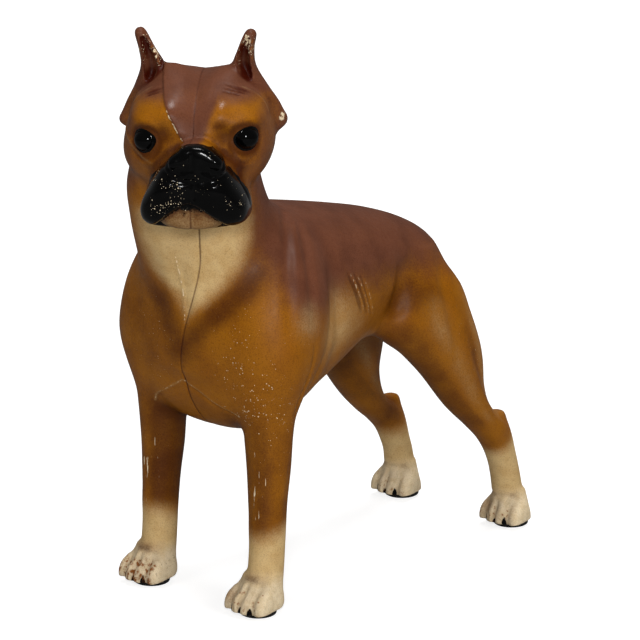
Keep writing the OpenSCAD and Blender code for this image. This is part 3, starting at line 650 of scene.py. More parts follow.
def model_head(cell, depth):
    """The head as clay, and the muzzle's own clay, which the paint follows."""
    corners = from_head([(-40, -44, -45), (40, -44, -45), (-40, 44, 40), (40, 44, 40)])
    low, high = corners.min(0), corners.max(0)
    clay, muzzle, ears = (Clay(low, high, cell) for _ in range(3))

    def press(block, rows, sides, blend=0.0, shaped=None, swells=()):
        points, faces = skin(rows, sides, 6, swells)
        block.press_form(from_head(shaped(points) if shaped else points), faces, blend)

    def near(centre, reach):
        """The cells round a place on the head, and their places in the head's frame."""
        middle = from_head([centre])[0]
        cut, world = clay.window(middle - reach, middle + reach)
        return cut, to_head(world)

    press(clay, SKULL, 96, swells=SKULL_SWELLS)

    # Muzzle, with the lips parted over the chin
    press(muzzle, MUZZLE, 96, shaped=muzzle_taper)
    cut, world = muzzle.window(low, high)
    hx, hy, hz = to_head(world)
    side = np.abs(hx + 0.4)
    arch = np.maximum((hz + 17.0 + 0.35 * side) / 1.08, (hz + 18.4 + 0.78 * (side - 3.5)) / 1.3)
    parting = np.maximum(arch, hy + NOSE_REACH - 6.5)
    muzzle.d[cut] = -melt(-muzzle.d[cut], parting.astype(np.float32), 1.6)
    for s in (-1, 1):
        muzzle.swell((s * 8.6, -35.5, -13.0), (5.6, 6, 5.6), 1.3, head=True)
        muzzle.swell((s * 15.2, -28, -21.5), (5, 8, 5.5), 1.4 if s > 0 else 1.6, head=True)
    muzzle.swell((15.5, -28, -27.5), (6, 8, 3), -1.0, head=True)
    clay.join(muzzle, 2.6)
    press(clay, CHIN, 64, 1.0)
    press(clay, NOSE, 64, 1.2, nose_taper)

    # Ears: cupped leaves that run down behind the temples, each with a flared foot
    for s in (1, -1):
        for rows, hollow in ((EAR, False), (EAR_CUP, True)):
            points, faces = skin(rows, 64, 8)
            points[:, 0] = points[:, 0] * s - EAR_LEAN * ease((points[:, 2] - 8) / 26)
            ears.press_form(from_head(points), faces if s > 0 else faces[:, ::-1], 0.7 if hollow else 0, hollow)
    for s in (1, -1):
        ears.swell((s * 27.2 - 0.2, 8.8, 3.6 if s > 0 else 1.8), (2.4, 3, 1.8), 0.6 if s > 0 else 1.5, head=True)
    clay.join(ears, 2.0)

    for s in (-1, 1):
        model_marks(clay, face_mounds(s), s, depth, head=True)
    # The brows' glossy tops
    clay.swell((-8.6, -17.5, 11.5), (2.8, 4, 2.8), 0.9, head=True)
    clay.swell((8.8, -17.0, 12.6), (2.8, 4, 2.8), 0.9, head=True)

    # Eyes: broad domes under heavy lids
    cut, (hx, hy, hz) = near((0, 0, 0), 40)
    for eye in EYES:
        ring = np.sqrt((hx - eye[0]) ** 2 + (hz - eye[1]) ** 2)
        face = np.exp(-(((hy + 19.0) / 6.0) ** 2))
        above = np.clip((hz - eye[1]) / np.maximum(ring, 0.5), 0, 1)
        clay.d[cut] -= 0.5 * above * np.exp(-(((ring - 6.0) / 1.9) ** 2)) * face
        clay.d[cut] += 0.3 * np.exp(-(((ring - 4.5) / 0.9) ** 2)) * face
        clay.d[cut] = np.minimum(clay.d[cut], eye_dome(hx, hy, hz, eye))

    for s in (-1, 1):
        model_marks(clay, nose_marks(s), 1, depth, head=True)
    model_marks(clay, CLEFT, 1, depth, head=True)
    for fold in (CHEEK_FOLD, LOWER_LID):
        for s in (1, -1):
            model_marks(clay, [fold], s, depth, head=True)
    model_marks(clay, FACE_LINES, 1, depth, head=True)

    # The raised edge where one casting stands proud beside the forehead's middle
    cut, (hx, hy, hz) = near((0, -15, 10), 22)
    panel = ease((hx - ledge(hz) + 0.25) / 0.5) * ease((1.5 - hx) / 9.0) * ease((hz + 1) / 2) * ease((6 - hy) / 6)
    clay.d[cut] -= 0.8 * depth * panel
    return clay, muzzle


# ---------------------------------------------------------------- the whole figure


def model_paw(clay, x, y, back):
    """A paw with four long toes, grooves between them, knuckles above and notches for the claws."""
    points, faces = skin(paw(back), 64, 6)
    clay.press_form(points + (x, y, 0) + MIDDLE, faces, 3.0)
    centre = np.array([x, y, 0]) + MIDDLE
    cut, (gx, gy, gz) = clay.window(centre + (-14, -16, 0), centre + (14, 14, 20))
    toes = np.full(clay.d[cut].shape, 9, np.float32)
    for k in TOES:
        a = math.radians(k * 7)
        px, py, pz = centre[0] + k * PAW_W / 4.2, centre[1] - PAW_L / 2 + 5.4 + abs(k) * 1.2, PAD_T + 1.4
        u = math.cos(a) * (gx - px) + math.sin(a) * (gy - py)
        v = -math.sin(a) * (gx - px) + math.cos(a) * (gy - py)
        lean = gz - pz - 0.4 * np.clip(v + 2.0, 0, 7)
        toe = (np.sqrt((u / 2.4) ** 2 + (v / 5.4) ** 2 + (lean / 6.2) ** 2) - 1) * 2.4
        toes = np.minimum(toes, toe.astype(np.float32))
    clay.d[cut] = melt(clay.d[cut], toes, 1.6)
    tip = y - PAW_L / 2
    for k in (-1, 0, 1):
        gap = [(x + k * PAW_W / 4.2, tip - 1, PAD_T + 0.5), (x + k * PAW_W / 4.3, tip + 1.0, PAD_T + 3.5),
               (x + k * PAW_W / 4.6, tip + 3.5, PAD_T + 7.4), (x + k * PAW_W / 5.2, tip + 6.5, PAD_T + 10)]
        clay.crease(gap, 0.6, 0.75)
        clay.crease(gap[:2], 0.5, 0.9)
    clay.crease([(x - 6.5, y - 3.0, PAD_T + 8), (x - 3, y - 4.6, PAD_T + 10.6), (x + 3, y - 4.6, PAD_T + 10.6),
                 (x + 6.5, y - 3.0, PAD_T + 8)], 0.9, 0.4)


def hock_marks(hock, y):
    """The hollows in front of the tendon, up between tendon and shin, and the hock's outer bone."""
    return [
        ([(HIND_X + 6, y - 11, hock + 5), (HIND_X + 7, y - 17, hock + 14), (HIND_X + 8, y - 26, hock + 25),
          (HIND_X + 8, y - 33, hock + 36)], 2.4, 1.5),
        ([(HIND_X - 6, y - 11, hock + 5), (HIND_X - 6, y - 18, hock + 15), (HIND_X - 7, y - 25, hock + 26)], 2.2, 1.0),
        ((HIND_X + 5, y - 14.5, hock - 2), (4, 4, 4), 0.7),
    ]


BODY_MARKS = [
    # Thigh and rump: the groove before the hamstrings, the rump's groove, the flank's fold and the thigh's front
    ([(25, HIND_Y - 39, HIP - 13), (28, HIND_Y - 41.5, HIP - 18), (31, HIND_Y - 43.5, HIP - 24),
      (33, HIND_Y - 43.5, HIP - 31), (35, HIND_Y - 41, HIP - 43), (35, HIND_Y - 37, HIP - 53)], 2.6, 1.3),
    ([(18, HIND_Y - 26, HIP - 3), (22, HIND_Y - 27, HIP - 12), (24, HIND_Y - 28, HIP - 22)], 2.2, 1.1),
    ([(21, HIND_Y - 63, HIP - 10), (23, HIND_Y - 63, HIP - 22), (24, HIND_Y - 61, HIP - 33)], 3.4, 1.6),
    ((27, HIND_Y - 52, HOCK + 44), (6, 8, 12), 0.4),
    # Shoulder: blade, point and the groove behind them, then the forearm and the knee
    ((38, FORE_Y + 17, KEEL + 47), (9, 8, 17), 0.9),
    ((36, FORE_Y + 2, KEEL + 32), (8, 7, 8), 0.9),
    ([(38, FORE_Y + 20, KEEL + 4), (39, FORE_Y + 24, KEEL + 20), (37, FORE_Y + 28, KEEL + 40),
      (31, FORE_Y + 30, KEEL + 62)], 3.4, 1.3),
    ([(FORE_X + 7, FORE_Y + 9, KEEL - 4), (FORE_X + 7, FORE_Y + 8, 44), (FORE_X + 7, FORE_Y + 7, 32)], 1.6, 0.5),
    ((FORE_X, FORE_Y - 1.0, 30), (5, 3, 5), 0.7),
    # Two long folds of skin from the nape down over the shoulder, with a ridge between
    ([(11, -38.5, 138), (22.5, -49, 134.5), (33, -59.5, 123.5), (37.5, -63, 114.5), (39.5, -64.5, 105)], 2.1, 1.5),
    ([(15, -38.5, 137), (25.5, -47.5, 132), (34.5, -55.5, 122.5), (39, -59, 112), (40, -59, 103)], 3.0, -0.3),
    ([(18.5, -38, 135), (28.5, -45.5, 129.5), (36, -51.5, 121), (40, -54.5, 110), (41, -53.5, 101)], 2.1, 1.1),
    # Three creases of skin over the last ribs, each with a ridge behind it
    *(mark for line, drop in zip(RIB_CREASES, (1.0, 0.85, 0.6)) for mark in (
        (line, 0.65, 1.3 * drop), ([(a, b + 1.8, c - 0.6) for a, b, c in line], 1.0, -0.6 * drop))),
    # The forearm's back edge against the ribs, and the fold of skin between belly and thigh
    ([(36, FORE_Y + 12.5, KEEL + 38), (35.5, FORE_Y + 10.8, KEEL + 27), (35, FORE_Y + 9.8, KEEL + 16),
      (34.5, FORE_Y + 10.5, KEEL + 6)], 0.9, 0.9),
    ((19.5, 8, 86.5), (9, 9, 7.5), 5.0),
]


def model_figure(cell, depth):
    """The whole dog as one block of clay, with the muzzle's clay for the paint."""
    clay = Clay(BLOCK_LOW, BLOCK_HIGH, cell)
    for rows, sides, blend, swells in ((TRUNK, 120, 0.0, TRUNK_SWELLS), (NECK, 96, 6.5, ())):
        points, faces = skin(rows, sides, 8, swells)
        clay.press_form(points + MIDDLE, faces, blend)
    for s in (1, -1):
        stance = (0, 0) if s > 0 else (RIGHT_DROP, RIGHT_BACK)
        for rows, blend in ((FORE_LEG, 4.5), (hind_leg(*stance), 5.0), (heel(*stance), 1.6)):
            points, faces = skin(rows, 72, 8)
            points[:, 0] *= s
            clay.press_form(points + MIDDLE, faces if s > 0 else faces[:, ::-1], blend)
    points, faces = skin(TAIL, 48, 6)
    clay.press_form(points + MIDDLE, faces, 3.5)
    for s in (1, -1):
        model_paw(clay, s * FORE_X, FORE_Y, FORE_PAW_BACK)
        model_paw(clay, s * HIND_X, HIND_Y, HIND_PAW_BACK)
    head, muzzle = model_head(cell, depth)
    clay.join(head, 4.0)

    for s in (1, -1):
        stance = (HOCK, HIND_Y) if s > 0 else (HOCK - RIGHT_DROP, HIND_Y + RIGHT_BACK)
        model_marks(clay, hock_marks(*stance) + BODY_MARKS, s, depth)
        # Throat: a cord of muscle on each side of the joint
        cord = [(s * 7 + 9, PIVOT_Y - 20, WITHERS - 4), (s * 6 + 5, PIVOT_Y - 21, WITHERS - 18),
                (s * 5 + 2, CHEST_Y, WITHERS - 36)]
        clay.crease(cord, 3.0, -0.5 * depth)
    # The neck's hollow under the left cheek, and the fuller back of the right hind leg
    clay.swell((22, -59, 155), (10, 10, 9), -1.8)
    clay.swell((-18, 46, 71), (8, 7, 12), 2.4)
    # Where the breast folds over the forelegs, and a thin raised line of flash beside the joint on the throat
    for line in BREAST_FOLDS:
        clay.crease([(a, b, c - 0.9) for a, b, c in line], 1.0, 0.45 * depth)
        clay.crease(line, 0.6, -0.4 * depth)
    clay.crease(FLASH, 0.5, -0.4)
    cut_seats(clay)
    return clay, muzzle


def cut_seats(clay):
    """Cuts the joint's fine furrow, flat soles for the pads, and pockets for the two screw heads."""
    cut, world = clay.window((*BLOCK_LOW[:2], 40), BLOCK_HIGH)
    side = joint_side(world)
    furrow = 0.34 - 0.29 * ease((world[2] - 146) / 10)
    clay.d[cut] += (furrow * np.exp(-((side / 0.5) ** 2))).astype(np.float32)
    cut, (x, y, z) = clay.window(BLOCK_LOW, (*BLOCK_HIGH[:2], 8))
    clay.d[cut] = -melt(-clay.d[cut], np.broadcast_to(z - PAD_T, clay.d[cut].shape).astype(np.float32), 0.6)
    for node in ("front_screw", "rear_screw"):
        low, high = (np.array(c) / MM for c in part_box(node))
        cut, (x, y, z) = clay.window((BLOCK_LOW[0], low[1] - 4, low[2] - 4), (low[0] + 2, high[1] + 4, high[2] + 4))
        radius = np.sqrt((y - (low[1] + high[1]) / 2) ** 2 + (z - (low[2] + high[2]) / 2) ** 2)
        pocket = np.maximum(radius - (high[1] - low[1]) / 2 - 0.2, x - low[0] - 1.2)
        clay.d[cut] = -melt(-clay.d[cut], pocket.astype(np.float32), 0.5)


def mesh_clay(clay, most):
    """Points and triangles of the clay's surface, thinned to a number of triangles."""
    grid = openvdb.FloatGrid(3 * clay.cell)
    grid.copyFromArray(np.clip(clay.d, -3 * clay.cell, 3 * clay.cell), ijk=tuple(int(v) for v in clay.first))
    grid.transform = openvdb.createLinearTransform(clay.cell)
    points, quads = grid.convertToQuads(isovalue=0.0)
    faces = np.vstack([quads[:, [0, 1, 2]], quads[:, [0, 2, 3]]]).astype(int)
    a, b, c = (points[faces[:, k]] for k in range(3))
    if np.einsum("ij,ij->i", a, np.cross(b, c)).sum() < 0:
        faces = faces[:, ::-1]
    mesh = bpy.data.meshes.new("clay")
    fill_mesh(mesh, points, faces)
    thing = bpy.data.objects.new("clay", mesh)
    bpy.context.scene.collection.objects.link(thing)
    if len(faces) > most:
        thin = thing.modifiers.new("thin", "DECIMATE")
        thin.ratio = most / len(faces)
    made = bpy.data.meshes.new_from_object(thing.evaluated_get(bpy.context.evaluated_depsgraph_get()))
    made.calc_loop_triangles()
    points = np.empty(len(made.vertices) * 3, np.float32)
    made.vertices.foreach_get("co", points)
    faces = np.empty(len(made.loop_triangles) * 3, np.int32)
    made.loop_triangles.foreach_get("vertices", faces)
    bpy.data.objects.remove(thing)
    bpy.data.meshes.remove(mesh)
    bpy.data.meshes.remove(made)
    return points.reshape(-1, 3).astype(float), faces.reshape(-1, 3).astype(int)


def fill_mesh(mesh, points, faces):
    """Puts triangles into an empty mesh."""
    mesh.vertices.add(len(points))
    mesh.vertices.foreach_set("co", np.ascontiguousarray(points, np.float32).ravel())
    mesh.loops.add(len(faces) * 3)
    mesh.loops.foreach_set("vertex_index", np.ascontiguousarray(faces, np.int32).ravel())
    mesh.polygons.add(len(faces))
    mesh.polygons.foreach_set("loop_start", np.arange(len(faces), dtype=np.int32) * 3)
    mesh.update(calc_edges=True)


def cut_half(points, faces, side):
    """The triangles where side is above zero, cut exactly along zero."""
    side = np.where(np.abs(side) < 0.03, 0.0, side)
    keep = side >= 0
    inside = keep[faces].sum(1)
    whole = faces[(inside == 3) & (side[faces].max(1) > 0)]
    crossing = faces[(inside > 0) & (inside < 3)]
    extra, known, made = [], {}, []

    def between(a, b):
        if side[a] == 0:
            return a
        key = (min(a, b), max(a, b))
        if key not in known:
            t = side[a] / (side[a] - side[b])
            known[key] = len(points) + len(extra)
            extra.append(points[a] + (points[b] - points[a]) * t)
        return known[key]

    for tri in crossing:
        ring = []
        for i in range(3):
            a, b = tri[i], tri[(i + 1) % 3]
            if keep[a]:
                ring.append(a)
            if keep[a] != keep[b]:
                p, q = (a, b) if keep[a] else (b, a)
                m = between(p, q)
                if m not in ring:
                    ring.append(m)
        for i in range(1, len(ring) - 1):
            made.append((ring[0], ring[i], ring[i + 1]))
    points = np.vstack([points, np.array(extra).reshape(-1, 3)])
    made = np.array(made, int).reshape(-1, 3)
    made = made[(made[:, 0] != made[:, 1]) & (made[:, 1] != made[:, 2]) & (made[:, 0] != made[:, 2])]
    faces = np.vstack([whole, made])
    used = np.unique(faces)
    order = np.full(len(points), -1)
    order[used] = np.arange(len(used))
    return points[used], order[faces]


def close_half(mesh, left):
    """Closes the open side of a half along the joint."""
    bm = bmesh.new()
    bm.from_mesh(mesh)
    rim = [e for e in bm.edges if len(e.link_faces) == 1]
    made = bmesh.ops.triangle_fill(bm, use_beauty=True, edges=rim, normal=(-1 if left else 1, 0, 0))
    caps = [f for f in made["geom"] if isinstance(f, bmesh.types.BMFace)]
    if not caps or any(len(e.link_faces) != 2 for e in bm.edges):
        raise RuntimeError("a half casting did not close along its joint: %d caps, %d open edges" % (
            len(caps), sum(len(e.link_faces) != 2 for e in bm.edges)))
    bmesh.ops.recalc_face_normals(bm, faces=bm.faces)
    if bm.calc_volume(signed=True) < 0:
        bmesh.ops.reverse_faces(bm, faces=bm.faces)
    bm.to_mesh(mesh)
    bm.free()


# ---------------------------------------------------------------- paint zones


def bell(*parts):
    """A soft spot that is 1 where every (value, middle, reach) is at its middle."""
    return np.exp(-sum(((v - m) / r) ** 2 for v, m, r in parts))


def largest(*amounts):
    """The largest of several amounts at each point."""
    return np.maximum.reduce(amounts)


def gap_to(points, line):
    """Distances from points to a broken line."""
    best = np.full(len(points), 1e6)
    for a, b in zip(line[:-1], line[1:]):
        m = np.clip((points - a) @ (b - a) / ((b - a) @ (b - a)), 0, 1)
        best = np.minimum(best, ((points - a - m[:, None] * (b - a)) ** 2).sum(1))
    return np.sqrt(best)


class Places:
    """Points on the dog: where each lies on the body and on the head, and how the clay bends there."""

    def __init__(self, points, clay, muzzle):
        self.points, self.clay = points, clay
        p = points.T
        self.x, self.y, self.z = x, y, z = p[0] - MIDDLE[0], p[1] - MIDDLE[1], p[2]
        self.hx, self.hy, self.hz = hx, hy, hz = to_head(p)
        self.wide, self.across = np.abs(x), np.abs(hx)
        self.side = joint_side(p)
        self.out = clay.outward(points)
        # How deeply each point lies in a hollow; the paint uses it for painted shade, together with some dirt, in the
        # hollows
        self.hollow = np.clip((1.8 - clay.at(points + self.out * 1.8)) / 1.2, 0, 1)
        self.edge = np.clip((clay.at(points - self.out * 1.4) + 1.4) / 1.0, 0, 1)
        self.lips = muzzle.at(points)
        # The head, what lies ahead of the neck, the bare chin between the lips, and the ankles
        self.before_nape = ease((10 - (y - PIVOT_Y) + (z - 150) * 1.4) / 14)
        self.head = ease((z - 146) / 10) * self.before_nape
        self.ahead = ease((PIVOT_Y + 4 - y) / 10)
        self.jaw = (hz < -16.2 - 0.33 * np.abs(hx + 0.4)) & (hz > -31) & (hy < -13)
        self.jaw &= (self.across < 15) & (self.lips > 0.35)
        self.ankle = sum(bell((self.wide, px, 6), (y, py - 4, 3.4), (z, PAD_T + 11.5, 1.8)) for px, py in PAWS[::2])
        # Half the width of the cream throat, wider on the right
        width = np.interp(z, [95, 101, 108, 114, 118, 125, 135, 150], [-9, -4, 1.5, 6, 8.5, 12, 15.5, 15.5])
        self.throat_half = width + 6 * ease((z - 112) / 12) * (self.side < 0)
        # Place across a thigh, from -1 at its front edge to 1 at its back
        heights = [30, 46, 56, 70, 85, 99]
        middle = np.interp(z, heights, [65, 52, 44, 36.5, 29, 25.5])
        reach = np.interp(z, heights, [6, 6, 9, 13.5, 18, 19])
        self.thigh_u = np.clip((y - middle) / reach, -2, 2)
        self.haunch = (y > 0) * ease((z - 40) / 8) * ease((106 - z) / 14)
        self.folds = largest(*(self.drawn(line, 0.6) for line in BREAST_FOLDS))

    def some(self, names):
        return [getattr(self, name) for name in names.split()]

    def drawn(self, line, width, head=False):
        """A soft line of paint along points that lie near the surface."""
        fine = smooth_rows(from_head(line) if head else np.array(line, float) + MIDDLE, 6)
        return np.exp(-((gap_to(self.points, self.clay.settle(fine)) / width) ** 2))


def brown_zone(at):
    """Red brown over the back, nape and shoulders, fading down the flanks, and over the head."""
    y, z, hx, hy, hz, across, head = at.some("y z hx hy hz across head")
    line = np.interp(y, [-80, -66, -58, -45, -20, 10, 30, 45, 60], [128, 110, 105, 107, 110, 108, 108, 107, 102])
    back = ease((z - line + 13) / 26) * ease((y + 77) / 22)
    back = np.maximum(back, 0.9 * ease((y - PIVOT_Y + 6) / 26) * ease((z - 116) / 18)) * (1 - head)
    right = np.interp(hz, [-1, 2, 8.5, 14, 19, 24], [2.6, 3.4, 5.5, 7.9, 9.6, 10])
    panel = ease((hx - ledge(hz) + 0.2) / 0.4) * ease((right - hx + 2) / 4) * ease((hz + 2.5) / 2) * ease((-hy - 1) / 6)
    crown = ease((hz - 9.5 + 0.1 * (across - 14)) / 8)
    nape_brown = ease((hy + 3) / 14) * ease((hz + 34) / 18)
    temple = 0.6 * ease((across - 17) / 6) * ease((hy + 22) / 10)
    cheek = 0.42 * ease((across - 12) / 6) * ease((3 - hz) / 6)
    brow = 0.4 * bell((hx, 15, 6), (hz, 8.5, 4)) * ease((-hy - 8) / 4)
    lower = ease((z - 130) / 28) * at.before_nape
    nape_back = 0.78 * ease((y - PIVOT_Y + 16) / 20) * ease((z - 118) / 16) * ease((178 - z) / 10)
    return largest(back, nape_back, head * largest(0.92 * panel, crown, temple, cheek, brow), lower * nape_brown)


def cream_zone(at):
    """Cream on the throat, below the shanks and on the paws, and dusted on the flank, shoulder and thigh, where on the
    flank it also stands for a painted sheen; pale lines along the cheek ridges are a painted highlight.
    """
    x, y, z, hz, wide, thigh_u, haunch = at.some("x y z hz wide thigh_u haunch")
    throat = ease((at.throat_half - np.abs(at.side) + 7.5) / 15) * at.ahead * ease((152 - z) / 10)
    fore = np.where(x > 0, 30 + (y - FORE_Y - 5) * 0.38, 26 - (y - FORE_Y - 5) * 0.3)
    hind = np.where(x > 0, 35 + (y - HIND_Y + 8) * 0.8, 28.5 + (y - HIND_Y + 6) * 0.2)
    socks = ease((np.where(y < 0, fore, hind) + 7.5 - z) / 15)
    chin = np.where(at.jaw, np.interp(hz, [-28, -23, -19], [0.44, 0.38, 0.22]), 0)
    stain = sum(bell((x, px, 3), (y, py - 9, 6), (z, 8, 4)) for px, py in ((FORE_X - 6, FORE_Y), (HIND_X - 5, HIND_Y)))
    cream = np.where(at.jaw, chin, np.maximum(throat, socks)) * (1 - 0.6 * at.ankle) * (1 - 0.45 * stain)
    # A pale tan on the flank, partly dusted paint and partly a painted sheen
    flank_tan_and_sheen = bell((wide, 33, 14), (y, -33, 18), (z, 99, 13))
    ham = haunch * ease((thigh_u - 0.3) / 0.4)
    shoulder_tan = bell((wide, 41, 4), (y, -57, 8), (z, 106, 9))
    # Pale lines along the cheek ridges, a painted highlight
    ridges = at.head * largest(*(at.drawn(line, 0.7, head=True) for line in CHEEK_RIDGES))
    return largest(cream, 0.5 * flank_tan_and_sheen, 0.3 * shoulder_tan, 0.26 * ham, 0.24 * haunch * bell((thigh_u, -0.3, 0.4)),
                0.24 * ridges, 0.32 * at.folds)


def black_zone(at):
    """Millimetres inside the black of the muzzle, nose and claws."""
    x, y, z, hx, hy, hz = at.some("x y z hx hy hz")
    mid = hx - MUZZLE_SET
    behind = -hy - 24.4 - 7.6 * ease((hz - 0.6) / 1.4)
    nose = np.minimum.reduce([5.0 - hz - 0.03 * mid**2, behind, 13 - np.abs(mid), hz + 14])
    heights = [-24, -21, -16, -11, -6.5, -3, 0, 2.5, 4]
    border = np.minimum(np.interp(hz, heights, [22, 21.4, 19.4, 15.4, 11.8, 9.4, 7.6, 4.6, 1]) - hx,
                        np.interp(hz, heights, [18.9, 18.3, 17.2, 14.7, 10.4, 6.8, 5.4, 2.6, 0]) + hx)
    bridge = behind + 0.8 * np.maximum(np.abs(mid) - 8, 0)
    mask = np.maximum(np.minimum.reduce([border, 2.4 + 3 * ease((hz + 14) / 4) - at.lips, bridge]), nose)
    mask = np.where(at.jaw, np.interp(hz, [-28, -24, -21, -18.5], [-0.9, -0.6, -0.2, 0.5]), mask)
    mask = np.where((hz > -31) & (hz < 8) & (hy < -13) & (hy > -44), mask, -3)
    claws = np.full(len(x), -3.0)
    for px, py in PAWS:
        for k in (-1, 0, 1):
            u, v, w = x - (px + k * PAW_W / 4.2), y - (py - PAW_L / 2 + 0.5 + abs(k) * 1.0), z - (PAD_T + 0.6)
            claws = np.maximum(claws, 1.1 - np.sqrt((u * 1.5) ** 2 + (v * 0.5) ** 2 + (w * 0.45) ** 2))
    return np.clip(np.maximum(mask, claws), -3, 3)


def shade_zone(at, cream, cup, stop):
    """Darker spray beside the throat, on the inner sides of the forelegs, in the flank's hollow and in the ears;
    painted shade between the legs and under the belly, round the eyes, in folds and in every hollow.
    """
    x, y, z, hx, hy, hz, wide = at.some("x y z hx hy hz wide")
    head, across, side, ahead, thigh_u, haunch = at.some("head across side ahead thigh_u haunch")
    bib = bell((np.abs(side) - at.throat_half, 9.5, 8)) * ease((z - 80) / 14) * ease((134 - z) / 12) * ahead
    bib = bib * (1 - 0.75 * (side < 0) * ease((z - 110) / 10))
    # Painted shade under the belly and between the legs, where little light reaches
    inner = ease((26 - wide) / 8) * ease((92 - z) / 20) * ease((z - 34) / 12) * ease((y - CHEST_Y - 9) / 8)
    inward = -np.sign(x) * at.out[:, 0]
    legs = ease((z - 21) / 14) * ease((80 - z) / 16) * (y < -40) * ease((wide - 9) / 5)
    left = 0.5 + 0.12 * ease(-inward / 0.3) - 0.3 * ease((-inward - 0.55) / 0.4)
    legs = legs * np.where(x < 0, 0.36 + 0.4 * ease((inward + 0.1) / 0.6), left)
    # Painted shade round the eyes, as under the brows' overhang, and darker painted shadow in their inner corners
    ring = np.minimum(*(np.sqrt((hx - eye[0]) ** 2 + (hz - eye[1]) ** 2) for eye in EYES))
    socket = head * bell((ring, 4.6, 2.2)) * ease((-hy - 12) / 4)
    corner = np.maximum(bell((across, 10.8, 4.2), (hz, 2.8, 4.2)), 0.85 * bell((hx, 8.8, 4.0), (hz, 6.4, 2.4)))
    corner = head * ease((-hy - 12) / 4) * corner
    beside = head * 0.62 * ease((-hy - 15) / 5) * ease((3 - hz) / 5) * ease((8 - np.abs(at.lips - 1)) / 7)
    right_breast = bell((x, -20, 15), (z, 97, 22)) * ahead
    flank = bell((wide, 26, 12), (y, -4, 8), (z, 106, 11))
    far_hock = bell((x, -21, 8), (y, 60, 10), (z, 38, 9))
    upper_thigh = bell((wide, 27, 12), (y, 14, 14), (z, 100, 8))
    shoulder = bell((wide, 33, 4.5), (y, -64, 6), (z, 113, 9))
    shade = largest(0.72 * bib, np.where(y > 0, 0.3, 0.5) * inner, 0.95 * cup, legs, 0.36 * right_breast, socket,
                 0.85 * corner, beside, 0.32 * flank, 0.6 * far_hock, 0.75 * upper_thigh, 0.3 * shoulder)
    shade = shade * (1 - 0.8 * stop)
    # Painted shade in the rib creases and in the forehead's wrinkles
    rib_crease_shade = (0.4 * at.drawn(mirrored(line, s), 0.7) for line in RIB_CREASES for s in (1, -1))
    wrinkles = (0.45 * at.drawn(line, 0.7, head=True) for line in WRINKLES)
    front = haunch * ease((-0.55 - thigh_u) / 0.4) * ease((96 - z) / 12)
    groove = haunch * bell((thigh_u, 0.36, 0.14)) * ease((90 - z) / 8) * (wide > HIND_X)
    shade = largest(shade, 0.7 * at.ankle, 0.95 * at.jaw, *rib_crease_shade, *wrinkles, 0.5 * front, 0.35 * groove)
    # Painted shade, with some dirt, darkens every hollow, less on cream, in the ear cups and on the forehead's middle
    return np.clip(shade + 0.6 * at.hollow * (1 - 0.7 * cream) * (1 - 0.8 * cup) * (1 - 0.8 * stop), 0, 1)


# Worn spots on the lips: place across the head, height and strength
WORN_LIPS = ((15.3, -18.8, 1), (-13.3, -19.4, 1), (-4, -12.3, 0.9), (-7.5, -18.8, 0.9), (-3.5, -19.5, 0.8),
             (-12, -8, 0.6), (6, -22, 0.7))


def wear_zones(at):
    """Chips on the left shoulder, the breast, the thighs, the ears, the lips and the shins, and rust, with pale lines
    along the rib ridges that are a painted highlight.
    """
    x, y, z, hx, hy, hz, wide, head, edge = at.some("x y z hx hy hz wide head edge")
    shoulder = bell((x, 26, 13), (y, FORE_Y + 2, 18), (z, 84, 26))
    breast = 0.45 * bell((x, -14, 14), (y, CHEST_Y + 4, 14), (z, 96, 26))
    thigh = 0.7 * bell((wide, 31, 8), (y, HIND_Y - 27 - (z - 70) * 0.5, 8), (z, 72, 22))
    ears = 1 + 0.5 * bell((hx, 17, 5), (hz, 30, 7)) + 0.5 * bell((hx, -15.5, 2.5), (hz, 26, 5))
    ears = head * ease((hz - 20) / 4) * ears
    tips = bell((hx, 15.6, 2.0), (hz, 31, 4.6), (hy, 0, 3.5)) + bell((hx, -15.6, 1.2), (hz, 26.5, 3.6), (hy, 0, 4))
    flare = bell((hx, 27, 1.6), (hz, 4.4, 2.6))
    lip = sum(a * bell((hx, u, 3.4), (hz, v, 3.0)) for u, v, a in WORN_LIPS)
    lip = head * ease((-hy - 22) / 4) * np.clip(lip + 0.25, 0, 1)
    knees = bell((np.abs(wide - FORE_X), 0, 3), (z, 40, 18)) * (y < FORE_Y + 3)
    shins = 0.55 * ease((56 - z) / 14) * edge + 0.5 * knees
    crack = head * bell((hx, ledge(hz), 0.36)) * ease((17 - hz) / 8) * ease((hz - 0.5) / 1.5) * ease((-hy - 8) / 4)
    worn_ears = 1.3 * ears * np.clip(edge + 0.25, 0, 1)
    # Pale lines along the ridges behind the rib creases, laid on as chips: a painted highlight on their lit edges
    behind = [[(a, b + 1.6, c - 0.4) for a, b, c in line] for line in RIB_CREASES]
    ridges = largest(*(at.drawn(mirrored(line, s), 0.7) for line in behind for s in (1, -1)))
    flash = at.drawn(FLASH, 0.5)
    soles = ease((15 - z) / 7) * (np.where((x < 0) & (y < 0), 0.48, 0.26) + 0.4 * at.hollow)
    return {
        "specks": np.clip(0.9 * shoulder + breast + 0.6 * thigh + 0.95 * lip + 0.1, 0, 1),
        "wear": np.clip(
            0.5 * shoulder + 0.6 * thigh + 0.85 * lip + worn_ears + shins * (1 - head) + 0.8 * crack + 0.12, 0, 1),
        "rust": np.clip(soles + 0.5 * ears * edge, 0, 1),
        "crack": np.clip(crack + 0.95 * tips + 0.8 * flare + 0.6 * at.folds + 0.76 * flash + 0.6 * ridges, 0, 1)}


# The paints and kinds of wear, each kept on the mesh as an amount per point
ZONES = ("brown", "cream", "pale", "scratch", "specks", "black", "eyes", "shade", "wear", "rust", "joint", "hollow",
         "cup", "gloss", "crack")


